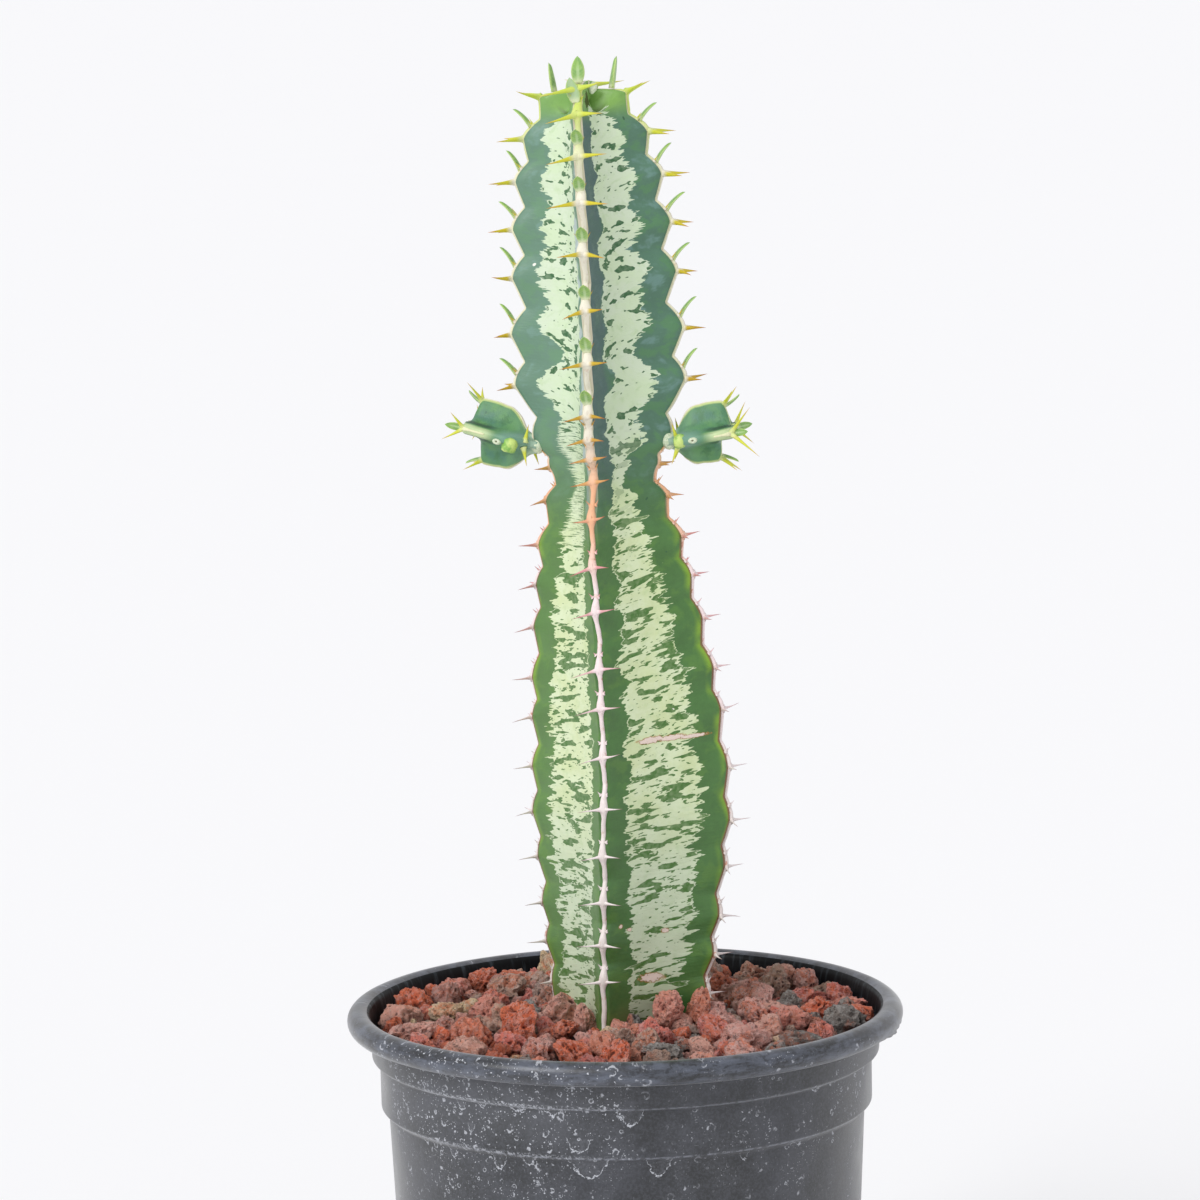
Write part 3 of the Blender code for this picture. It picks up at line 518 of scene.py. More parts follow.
class Column:
    """A four-ribbed stem. At height t its axis is at base + drift * e1 + t * e3, its section lies
    square to the axis there, and rib number n points at -90 - twist + 90 n degrees from e1
    towards e2."""

    def __init__(self, base, axes, girth, nodes, ends, edge):
        self.base = np.array(base, float)
        self.e1, self.e2, self.e3 = (np.array(axis, float) for axis in axes)
        self.girth = girth
        self.nodes = nodes
        self.ends = ends
        self.edge = edge
        self.delay = [0.0, 0.0, 0.0, 0.0]
        self.width_share = [1.0, 1.0, 1.0, 1.0]
        self.notch_share = ((0, SHOOT_NOTCH), (1, SHOOT_NOTCH))
        self.drift = ((0, 0.0), (1, 0.0))
        self.twist = ((0, 0.0), (1, 0.0))
        self.wedge = ((0, SHOOT_WEDGE), (1, SHOOT_WEDGE))
        self.handle = ((0, SHOOT_HANDLE), (1, SHOOT_HANDLE))
        self.puff = ((0, 0.25), (1, 0.25))

    def axis_point(self, t):
        t = np.atleast_1d(t)[:, None]
        return self.base + smooth(self.drift, t) * self.e1 + t * self.e3

    def directions(self, rib, t):
        """Outward and sideways unit vectors of a rib, the second turning from e1 towards e2."""
        t = np.atleast_1d(t)
        lean = (smooth(self.drift, t + 1) - smooth(self.drift, t - 1))[:, None] / 2
        across = self.e1 - lean * self.e3
        angle = np.radians(-90 - smooth(self.twist, t) + 90 * rib)[:, None]
        out = np.cos(angle) * across + np.sin(angle) * self.e2
        side = -np.sin(angle) * across + np.cos(angle) * self.e2
        return out, side

    def full_radius(self, rib, t):
        """Radius over the teeth, closing on a quarter ellipse at the rib's end."""
        over = np.clip((t - self.ends[rib]) / END_ROUNDING + 1, 0, 1)
        girth = self.width_share[rib] * smooth(self.girth, np.asarray(t) - self.delay[rib])
        return CORE_RADIUS + (girth - CORE_RADIUS) * np.sqrt(1 - over**2)

    def notch(self, rib, t):
        """Depth of the cut between two teeth: a round shoulder down to the valley, then a straight
        line up to the next node."""
        nodes = np.array(self.nodes[rib])
        low = np.clip(np.searchsorted(nodes, t, side="right") - 1, 0, len(nodes) - 2)
        pitch = nodes[low + 1] - nodes[low]
        part = np.clip((t - nodes[low]) / pitch, 0, 1)
        shoulder = (part / NOTCH_VALLEY) ** NOTCH_SHOULDER
        straight = (1 - part) / (1 - NOTCH_VALLEY)
        return smooth(self.notch_share, t) * pitch * np.minimum(shoulder, straight)

    def edge_radius(self, rib, t):
        return self.full_radius(rib, t) - self.notch(rib, t)

    def face(self, rib, t, shares):
        """Grid over the face between a rib and the next, a row for each height. The section is a
        cubic Bezier curve that leaves each rib at the wedge angle from its radius, and near a rib
        it follows that rib's teeth."""
        part = np.asarray(shares)[None, :, None]
        rest = 1 - part
        following = (rib + 1) % 4
        out, side = (vector[:, None] for vector in self.directions(rib, t))
        out_next, side_next = (vector[:, None] for vector in self.directions(following, t))
        full = self.full_radius(rib, t)[:, None, None]
        full_next = self.full_radius(following, t)[:, None, None]
        notch = np.minimum(self.notch(rib, t)[:, None, None], full - CORE_RADIUS)
        notch_next = np.minimum(self.notch(following, t)[:, None, None], full_next - CORE_RADIUS)
        wedge = np.radians(smooth(self.wedge, t))[:, None, None]
        handle = smooth(self.handle, t)[:, None, None]
        start = full * out + self.edge * side
        stop = full_next * out_next - self.edge * side_next
        leave = start + handle * full * (np.sin(wedge) * side - np.cos(wedge) * out)
        arrive = stop - handle * full_next * (np.sin(wedge) * side_next + np.cos(wedge) * out_next)
        curve = rest**3 * start + 3 * rest**2 * part * leave
        curve = curve + 3 * rest * part**2 * arrive + part**3 * stop
        pull = np.clip(1 - part / NOTCH_REACH, 0, 1) ** NOTCH_FADE
        pull_next = np.clip(1 - rest / NOTCH_REACH, 0, 1) ** NOTCH_FADE
        curve = curve - notch * pull * out - notch_next * pull_next * out_next
        return self.axis_point(t)[:, None] + curve

    def swelling(self, rib, t):
        """1 at each node of a rib, falling off above and below as a bell curve."""
        gap = np.abs(np.asarray(t)[:, None] - np.array(self.nodes[rib])[None]).min(axis=1)
        return np.exp(-((gap / PUFF_HEIGHT) ** 2))

    def edge_line(self, rib, t):
        """Points along a rib's edge, with the line's outward normal and the rib's sideways vector."""
        out, side = self.directions(rib, t)
        points = self.axis_point(t) + self.edge_radius(rib, t)[:, None] * out
        normal = unit(np.cross(side, np.gradient(points, axis=0)))
        return points, normal, side

    def edge_place(self, rib, height):
        """Point on a rib's edge at one height, with its outward and sideways vectors."""
        out, side = self.directions(rib, height)
        point = self.axis_point(height) + float(self.edge_radius(rib, height)) * out
        return point[0], out[0], side[0]


def stem_column():
    sides = {FRONT: FACE_NODES, BACK: FACE_NODES, LEFT: SIDE_NODES, RIGHT: SIDE_NODES}
    ends = {FRONT: FACE_END, BACK: FACE_END, LEFT: SIDE_END, RIGHT: SIDE_END}
    column = Column((0, 0, SOIL_LINE), np.eye(3), STEM_GIRTH, sides, ends, STEM_EDGE)
    column.notch_share = STEM_NOTCH
    column.drift = STEM_DRIFT
    column.twist = STEM_TWIST
    column.wedge = STEM_WEDGE
    column.handle = STEM_HANDLE
    column.puff = PUFF
    return column


def shoot_column(stem, rib):
    """Short column whose axis starts on the stem's rib at the shoot's node. Its own ribs stand
    to the front and back, above and below, and the lower one is the shortest."""
    height = np.array([SHOOT_NODE - 1, SHOOT_NODE, SHOOT_NODE + 1])
    points = stem.edge_line(rib, height)[0]
    out = stem.directions(rib, SHOOT_NODE)[0]
    heading = math.atan2(out[0][1], out[0][0]) - math.radians(SHOOT_SWING[rib])
    rise = math.radians(SHOOT_RISE[rib])
    e3 = np.array([
        math.cos(rise) * math.cos(heading), math.cos(rise) * math.sin(heading), math.sin(rise)
    ])
    e2 = unit(np.array([0, 1, 0]) - e3[1] * e3)
    upper = (rib + 2) % 4
    kinds = {FRONT: "face", BACK: "face", upper: "upper", rib: "lower"}
    longer = SHOOT_LENGTH_SHARE[rib]
    nodes = {own_rib: np.multiply(SHOOT_NODES[kind], longer) for own_rib, kind in kinds.items()}
    ends = {own_rib: SHOOT_ENDS[kind] * longer for own_rib, kind in kinds.items()}
    girth = [(height * longer, radius) for height, radius in SHOOT_GIRTH]
    column = Column(points[1], (np.cross(e2, e3), e2, e3), girth, nodes, ends, SHOOT_EDGE)
    column.delay[upper] = SHOOT_UPPER_DELAY[rib]
    column.width_share[rib] = SHOOT_LOWER_SHARE[rib]
    return column


def end_rows(ends):
    """Heights round the quarter ellipses that close the ribs, at even angles."""
    angles = np.radians(np.linspace(0, 90, 9))
    return [end - END_ROUNDING + END_ROUNDING * math.sin(angle) for end in set(ends) for angle in angles]


def skin_surface(column, rows, cells, hollow=(0.0, 1.0, 0.0)):
    """Four faces and four crests, closed by fans at both ends. A face is raised along its normal
    by its nodes' swelling, which fades as a bell curve away from the rib, and by a fine relief. Its
    middle sinks towards the top by the hollow's depth, times the squared sine of its share."""
    surface = Surface()
    sink = hollow[2] * step(rows, hollow[0], hollow[1])[:, None]
    shares = np.linspace(0, 1, cells + 1)
    faces = [column.face(rib, rows, shares) for rib in range(4)]
    for rib, points in enumerate(faces):
        walked = np.cumsum(np.linalg.norm(np.diff(points, axis=1), axis=2), axis=1)
        walked = np.concatenate([np.zeros((len(rows), 1)), walked], axis=1)
        left = walked[:, -1:] - walked
        near = np.minimum(walked, left)
        normal = unit(np.cross(np.gradient(points, axis=1), np.gradient(points, axis=0)))
        puff = column.swelling(rib, rows)[:, None] * np.exp(-((walked / PUFF_WIDTH) ** 2))
        puff = puff + column.swelling((rib + 1) % 4, rows)[:, None] * np.exp(-((left / PUFF_WIDTH) ** 2))
        raised = smooth(column.puff, rows)[:, None] * puff
        raised = raised + RELIEF * rough(points / 5.0, 2, seed=3)
        raised = raised * step(near, 0.0, 2.0)
        points = points + raised[..., None] * normal
        faces[rib] = points - (sink * np.sin(np.pi * shares) ** 2)[..., None] * column.e3
        height = np.broadcast_to(rows[:, None], near.shape)
        hand = np.full(near.shape, (1.0, -1.0, 1.0, -1.0)[rib])
        surface.add(
            faces[rib],
            skin_map=np.stack([walked + FACE_STRIDE * (rib + 1), height], -1),
            edge_map=np.stack([near, hand], -1),
            band_map=np.stack([walked, left] if rib in (FRONT, BACK) else [left, walked], -1),
        )
        if rib:
            add_crest(surface, faces[rib - 1][:, -1], faces[rib][:, 0], rows, rib)
    add_crest(surface, faces[3][:, -1], faces[0][:, 0], rows, 0)
    outline = np.concatenate(
        [np.concatenate([faces[rib], faces[(rib + 1) % 4][:, :1]], axis=1) for rib in range(4)], axis=1
    )
    for end in (0, -1):
        flat = np.broadcast_to((FACE_STRIDE, rows[end]), (2, outline.shape[1], 2))
        edges = np.broadcast_to((3.0, 1.0), flat.shape)
        bands = np.broadcast_to((3.0, 3.0), flat.shape)
        surface.close(outline[end], skin_map=flat, edge_map=edges, band_map=bands)
    return surface


def add_crest(surface, before, after, rows, rib):
    """Strip over the flat crest between two faces."""
    height = np.repeat(rows[:, None], 2, axis=1)
    along = np.broadcast_to((FACE_STRIDE * (rib + 1) - 1.0, FACE_STRIDE * (rib + 1)), height.shape)
    surface.add(
        np.stack([before, after], axis=1),
        skin_map=np.stack([along, height], -1),
        edge_map=np.stack([np.zeros_like(height), np.ones_like(height)], -1),
        band_map=np.broadcast_to((0.0, FAR) if rib in (FRONT, BACK) else (FAR, 0.0), (*height.shape, 2)),
    )


def add_margin(surface, column, rib, rows, sizes, colour_height=None):
    """Strip along a rib's edge. Its section is a flattened arch over a shallow sunk belly; its
    width peaks at each node as a bell curve, wider above than below, it sways by a slow noise, and it
    tapers at both ends."""
    on_stem = colour_height is None
    width, shield, tall = SIDE_MARGIN * np.array(sizes) if on_stem and rib in (LEFT, RIGHT) else sizes
    if on_stem:
        width = width * smooth(MARGIN_SHARE, rows)
        shield = shield * smooth(MARGIN_SHARE, rows)
    points, normal, side = column.edge_line(rib, rows)
    out = column.directions(rib, rows)[0]
    window = np.hanning(9)
    window /= window.sum()
    padded = np.pad(normal, ((4, 4), (0, 0)), mode="edge")
    eased = np.stack([np.convolve(padded[:, axis], window, "valid") for axis in range(3)], axis=1)
    lift = unit(eased + out)
    nodes = np.array(column.nodes[rib])
    gap = rows[:, None] - nodes[None]
    shielded = np.exp(-((gap / np.where(gap < 0, 1.2, 2.3)) ** 2)).max(axis=1)
    eye = np.exp(-(((gap - 1.7) / 0.9) ** 2)).max(axis=1)
    rise = min(1.0, len(rows) / 40) * MARGIN_TAPER
    ends = np.minimum(rows - rows[0], rows[-1] - rows)
    taper = np.sqrt(1 - (1 - np.clip(ends / rise, 0, 1)) ** 2)
    grain = rough(points / 1.6, 2, seed=20 + rib)
    sway = rough(np.stack([rows / 4.5, 0 * rows + 9 * rib, 0 * rows], -1), 2, seed=15)
    points = points + (smooth(MARGIN_SWAY, rows) * sway * taper * on_stem)[:, None] * side
    half = (width + (shield - width) * shielded) / 2 * (1 + 0.09 * grain) * taper
    high = (tall * (1 + 0.14 * grain + 0.3 * shielded) + 0.16 * eye) * taper
    angle = np.radians(np.linspace(0, 360, 13))
    across = np.cos(angle)[None, :, None] * half[:, None, None] * side[:, None]
    up = np.where(np.sin(angle) > 0, np.abs(np.sin(angle)) ** 0.7, -MARGIN_SUNK * np.abs(np.sin(angle)))
    up = np.where(up > 0, up * high[:, None], up * taper[:, None])
    grid = points[:, None] + across + up[..., None] * lift[:, None]
    shown = rows if on_stem else np.full(len(rows), colour_height)
    surface.add(
        grid,
        height=np.repeat(shown[:, None], len(angle), axis=1),
        reach=0.0,
        edge=np.broadcast_to(np.abs(np.cos(angle)), grid.shape[:2]),
    )


def add_spine(surface, root, heading, up, size, thick, flare, bend, height):
    """Horny spine: its radius is a slim cone plus a flare that dies away from the root, taller than
    it is deep, and its axis bends with the square of the way along."""
    part = np.array(SPINE_SHARES)
    heading = unit(heading)
    up = unit(up - np.dot(up, heading) * heading)
    deep_way = np.cross(heading, up)
    slim = thick * (1 - part)
    spread = flare * np.exp(-9 * part) * (1 - part)
    centre = root + part[:, None] * size * heading + part[:, None] ** 2 * bend
    angle = np.radians(np.linspace(0, 360, SPINE_SIDES + 1))[None, :, None]
    tall = (slim + spread)[:, None, None] * np.cos(angle) * up
    deep = (0.85 * slim + 0.5 * spread)[:, None, None] * np.sin(angle) * deep_way
    grid = centre[:, None] + tall + deep
    surface.add(
        grid, height=height, reach=np.repeat(part[:, None], SPINE_SIDES + 1, axis=1), edge=0.0
    )
    surface.close(grid[0], height=height, reach=0.0, edge=0.0)


def add_leaf(surface, root, heading, bend_to, side, size, width, thick, curl, fold, greyed=0.0):
    """Leaf blade. Its middle line leaves along the heading and turns by the curl towards the second
    direction; its half width is the sine of the way along, its section a lens whose edges are
    lifted by the fold."""
    part = np.linspace(0, 1, 13)
    turn = np.radians(curl) * part
    ways = np.cos(turn)[:, None] * heading + np.sin(turn)[:, None] * bend_to
    middle = root + size * np.concatenate([np.zeros((1, 3)), np.cumsum(ways[:-1], axis=0)]) / 12
    face = unit(np.cross(side, ways))
    half = width / 2 * np.sin(np.pi * (0.13 + 0.87 * part)) ** 0.7
    deep = thick / 2 * (1 - 0.55 * part) * step(1.001 - part, 0, 0.12)
    angle = np.radians(np.linspace(0, 360, 13))
    cross = np.cos(angle)
    lens = np.sin(angle)
    lens = np.where(lens > 0, 0.5 * lens, lens - 0.5 * np.exp(-((cross / 0.25) ** 2)))
    lift = deep[:, None] * lens[None] + fold * half[:, None] * np.abs(cross)[None] ** 1.5
    wide = (half[:, None] * cross[None])[..., None] * side
    grid = middle[:, None] + wide + lift[..., None] * face[:, None]
    blade = np.stack(np.broadcast_arrays(cross[None], part[:, None]), -1)
    surface.add(grid, blade_map=blade, greyed=greyed)
    for end in (0, -1):
        surface.close(grid[end], blade_map=np.stack([blade[end], blade[end]]), greyed=greyed)


def add_blob(surface, centre, axes, lumps, seed, **values):
    """Rounded lump: a sphere of latitude and longitude, stretched along three axes and roughened."""
    lon, lat = np.meshgrid(np.radians(np.linspace(0, 360, 17)), np.radians(np.linspace(-90, 90, 11)))
    ball = np.stack([np.cos(lat) * np.cos(lon), np.cos(lat) * np.sin(lon), np.sin(lat)], -1)
    size = 1 + lumps * lattice_noise(ball * 1.5 + 9.0, seed)
    surface.add(centre + (size[..., None] * ball) @ np.array(axes), **values)


def spine_pair(surface, column, rib, node, rng, sizes):
    """Two spines, left and right of a node, and two prickles above them."""
    point, out, side = column.edge_place(rib, node)
    spread, rise, size, lift, prick = sizes
    ahead = math.cos(rise) * out + math.sin(rise) * column.e3
    root = point + 0.1 * out
    thick = level(SPINE_THICK, node)
    flare = level(SPINE_FLARE, node)
    roll = math.radians(level(SPINE_ROLL, node)) if rib in (FRONT, BACK) else 0.0
    for hand in (-1, 1):
        stray = rng.normal(size=3)
        aim = spread + math.radians(4) * stray[0]
        heading = math.cos(aim) * ahead + hand * math.sin(aim) * side
        heading = heading + (0.045 * stray[1] - 0.03 + hand * math.sin(roll)) * column.e3
        bend = (0.35 * stray[2] * column.e3) + 0.3 * out
        long = size * (1 + 0.1 * rng.uniform(-1, 1))
        add_spine(surface, root, heading, column.e3, long, thick, flare, bend, node)
        stray = rng.uniform(0.7, 1.2)
        if node + lift > column.ends[rib] - END_ROUNDING:
            continue
        corner, corner_out, _ = column.edge_place(rib, node + lift)
        corner = corner + 0.2 * corner_out + hand * 0.7 * side
        aim = 0.7 * corner_out + hand * 0.6 * side + 0.9 * column.e3
        add_spine(surface, corner, aim, column.e3, prick * stray, 0.26, 0.34, 0 * out, node + 0.01)


def material_of(name):
    """Nodes of a new material, round its Principled BSDF."""
    made = bpy.data.materials.new(name)
    made.use_nodes = True
    return Nodes(made.node_tree, made)


def math_method(operation, swapped=False):
    """Method that makes a Math node of a wire and other values."""

    def method(self, *others):
        values = (*others, self) if swapped else (self, *others)
        return self.nodes.maths(operation, *values)

    return method


def largest(masks):
    total = masks[0]
    for mask in masks[1:]:
        total = total | mask
    return total


class Wire:
    """One output of a shader node. Its sums, products and the like are Math nodes, and | and & are
    the larger and the smaller of two values."""

    __add__ = math_method("ADD")
    __sub__ = math_method("SUBTRACT")
    __rsub__ = math_method("SUBTRACT", swapped=True)
    __mul__ = math_method("MULTIPLY")
    __truediv__ = math_method("DIVIDE")
    __rtruediv__ = math_method("DIVIDE", swapped=True)
    __abs__ = math_method("ABSOLUTE")
    __lt__ = math_method("LESS_THAN")
    __gt__ = math_method("GREATER_THAN")
    __or__ = math_method("MAXIMUM")
    __and__ = math_method("MINIMUM")

    def __init__(self, nodes, socket):
        self.nodes = nodes
        self.socket = socket

    def step(self, low, high):
        """0 below low, 1 above high and smooth between; the other way round where low is higher."""
        inputs = {"Value": self, "From Min": low, "From Max": high}
        return self.nodes.out("ShaderNodeMapRange", inputs, interpolation_type="SMOOTHSTEP")

    def range(self, low, high, to_low, to_high):
        inputs = {"Value": self, "From Min": low, "From Max": high, "To Min": to_low, "To Max": to_high}
        return self.nodes.out("ShaderNodeMapRange", inputs)

    def between(self, first, second):
        """The first value where this share is 0, the second where it is 1."""
        return self.range(0.0, 1.0, first, second)

    def mix(self, first, second):
        """The first colour where this share is 0, the second where it is 1."""
        inputs = {0: self, 6: first, 7: second}
        return self.nodes.out("ShaderNodeMix", inputs, 2, data_type="RGBA")

    def painted(self, share, tone):
        """This colour with another laid over it by a share."""
        return share.mix(self, tone)

    def scaled(self, scale, shift=(0, 0, 0), turn=0.0):
        inputs = {"Vector": self, "Scale": scale, "Location": shift, "Rotation": (0, 0, turn)}
        return self.nodes.out("ShaderNodeMapping", inputs)

    def noise(self, scale, detail=2.0, roughness=0.5, **placing):
        """Noise at a scale, or at a pair of scales across and along the surface."""
        if isinstance(scale, tuple):
            return self.scaled((*scale, 1.0), **placing).noise(1.0, detail, roughness)
        inputs = {"Vector": self, "Scale": scale, "Detail": detail, "Roughness": roughness}
        return self.nodes.out("ShaderNodeTexNoise", inputs)

    def stir(self, scale, detail):
        """Noise of three numbers, to shift a place by."""
        inputs = {"Vector": self, "Scale": scale, "Detail": detail}
        return self.nodes.out("ShaderNodeTexNoise", inputs, 1)

    def cells(self, scale):
        """Distance to the nearest centre of a Voronoi pattern, and a colour for each cell."""
        node = self.nodes.add("ShaderNodeTexVoronoi", {"Vector": self, "Scale": scale})
        return [Wire(self.nodes, node.outputs[name]) for name in ("Distance", "Color")]

    def split(self):
        node = self.nodes.add("ShaderNodeSeparateXYZ", {"Vector": self})
        return [Wire(self.nodes, socket) for socket in node.outputs]

    def ramp(self, *stops):
        node = self.nodes.add("ShaderNodeValToRGB", {"Fac": self})
        ends = node.color_ramp.elements
        ends.remove(ends[1])
        for index, (place, tone) in enumerate(stops):
            stop = ends[0] if index == 0 else ends.new(place)
            stop.position = place
            stop.color = (*tone, 1)
        return Wire(self.nodes, node.outputs[0])

    def bump(self, depth, strength=1.0):
        """Normal from this height, whose unit is the depth in millimetres."""
        inputs = {"Height": self, "Distance": depth * MM, "Strength": strength}
        return self.nodes.out("ShaderNodeBump", inputs)

    def grain(self, size):
        return self.nodes.group(grain_group(), place=self, size=size)["Height"]

    def spots(self, pitch, share, size, ragged, output="Mask"):
        inputs = {"place": self, "pitch": pitch, "share": share, "size": size, "ragged": ragged}
        return self.nodes.group(spots_group(), **inputs)[output]


class Nodes:
    """Adds shader nodes to a tree. A value is a number, a tuple or a wire."""

    def __init__(self, tree, material=None):
        self.tree = tree
        self.material = material

    def put(self, socket, value):
        if isinstance(value, Wire):
            self.tree.links.new(value.socket, socket)
        elif socket.type == "RGBA" and len(value) == 3:
            socket.default_value = (*value, 1)
        else:
            socket.default_value = value

    def add(self, kind, inputs=(), **settings):
        node = self.tree.nodes.new(kind)
        for name, value in settings.items():
            setattr(node, name, value)
        for name, value in dict(inputs).items():
            self.put(node.inputs[name], value)
        return node

    def out(self, kind, inputs=(), output=0, **settings):
        return Wire(self, self.add(kind, inputs, **settings).outputs[output])

    def maths(self, operation, *values):
        return self.out("ShaderNodeMath", enumerate(values), operation=operation)

    def vector(self, operation, first, second):
        place = "Scale" if operation == "SCALE" else 1
        return self.out("ShaderNodeVectorMath", {0: first, place: second}, operation=operation)

    def attribute(self, name):
        return self.out("ShaderNodeAttribute", output="Fac", attribute_name=name)

    def map(self, name):
        return self.out("ShaderNodeUVMap", uv_map=name)

    def join(self, x, y):
        return self.out("ShaderNodeCombineXYZ", {"X": x, "Y": y})

    def millimetres(self):
        """Object coordinates in millimetres."""
        return self.out("ShaderNodeTexCoord", output="Object").scaled((1 / MM, 1 / MM, 1 / MM))

    def group(self, tree, **inputs):
        """Places a node group. Returns its outputs by their names."""
        node = self.add("ShaderNodeGroup", node_tree=tree)
        for name, value in inputs.items():
            self.put(node.inputs[name.replace("_", " ").capitalize()], value)
        return {socket.name: Wire(self, socket) for socket in node.outputs}

    def finish(self, body, normal, roughness, plain=()):
        """Feeds the shader, whose other sockets take plain numbers. Returns the material."""
        values = {"Base Color": body, "Normal": normal, "Roughness": roughness, **dict(plain)}
        shader = self.tree.nodes["Principled BSDF"]
        for name, value in values.items():
            self.put(shader.inputs[name], value)
        return self.material


def new_group(name, inputs, build):
    """Shader node group, built once. Its inputs are given by their defaults, and build returns its
    outputs, which are masks or heights."""
    group = bpy.data.node_groups.get(name)
    if group:
        return group
    group = bpy.data.node_groups.new(name, "ShaderNodeTree")
    for label, default in inputs.items():
        kind = "NodeSocketVector" if isinstance(default, tuple) else "NodeSocketFloat"
        group.interface.new_socket(label, in_out="INPUT", socket_type=kind).default_value = default
    nodes = Nodes(group)
    entry = {socket.name: Wire(nodes, socket) for socket in nodes.add("NodeGroupInput").outputs}
    made = build(nodes, entry)
    for label in made:
        group.interface.new_socket(label, in_out="OUTPUT", socket_type="NodeSocketFloat")
    leave = nodes.add("NodeGroupOutput").inputs
    for label, wire in made.items():
        nodes.put(leave[label], wire)
    return group


def spots_group():
    """Scattered ragged spots: one in some cells of a Voronoi pattern whose place is stirred."""

    def build(nodes, entry):
        place = nodes.vector("SCALE", entry["Place"], 1.0 / entry["Pitch"])
        stir = nodes.vector("SUBTRACT", place.stir(2.6, 2.0), (0.5, 0.5, 0.5))
        place = nodes.vector("ADD", place, nodes.vector("SCALE", stir, entry["Ragged"]))
        distance, colour = place.cells(1.0)
        pick = colour.split()
        chosen = pick[0] < entry["Share"]
        radius = entry["Size"] * nodes.maths("MULTIPLY_ADD", pick[1], 0.6, 0.4)
        inside = distance.step(radius, radius * 0.85)
        rim = abs(distance - radius).step(0.09, 0.03)
        return {"Mask": inside * chosen, "Ring": rim * chosen}

    inputs = {"Place": ORIGIN, "Pitch": 1.0, "Share": 0.5, "Size": 0.3, "Ragged": 0.3}
    return new_group("ragged_spots", inputs, build)


def grain_group():
    """Fine grain: three octaves of noise at a size, as a height from 0 to 1."""

    def build(nodes, entry):
        place = nodes.vector("SCALE", entry["Place"], 1.0 / entry["Size"])
        return {"Height": place.noise(1.0, 3.0, 0.6)}

    return new_group("fine_grain", {"Place": ORIGIN, "Size": 1.0}, build)


def patch_group():
    """One ragged patch: 1 inside an ellipse round a place, its edge stirred by noise."""

    def build(nodes, entry):
        away = nodes.vector("SUBTRACT", entry["Place"], entry["Centre"])
        away = nodes.vector("DIVIDE", away, entry["Radii"])
        reach = nodes.out("ShaderNodeVectorMath", {0: away}, "Value", operation="LENGTH")
        reach = reach + entry["Place"].noise(1.1, 3.0, 0.6).between(-0.8, 0.8)
        return {"Mask": reach.step(1.0, 0.85), "Rim": reach.step(1.35, 0.9)}

    return new_group("ragged_patch", {"Place": ORIGIN, "Centre": ORIGIN, "Radii": (1.0, 1.0, 1.0)}, build)


def drip_group():
    """Outline of a dried drip that hangs from a line: a parabola round its lowest point."""

    def build(nodes, entry):
        x, y, _ = entry["Place"].split()
        share = (x - entry["Middle"]) / entry["Half width"]
        bottom = entry["Top"] - (1.0 - share * share) * entry["Length"]
        width = abs(share) < 1.0
        line = abs(y - bottom).step(entry["Line"], entry["Line"] * 0.4)
        return {"Line": line * width, "Fill": (y > bottom) * (y < entry["Top"]) * width}

    inputs = {"Place": ORIGIN, "Middle": 0.0, "Top": 0.0, "Half width": 1.0, "Length": 1.0, "Line": 0.2}
    return new_group("dried_drip", inputs, build)


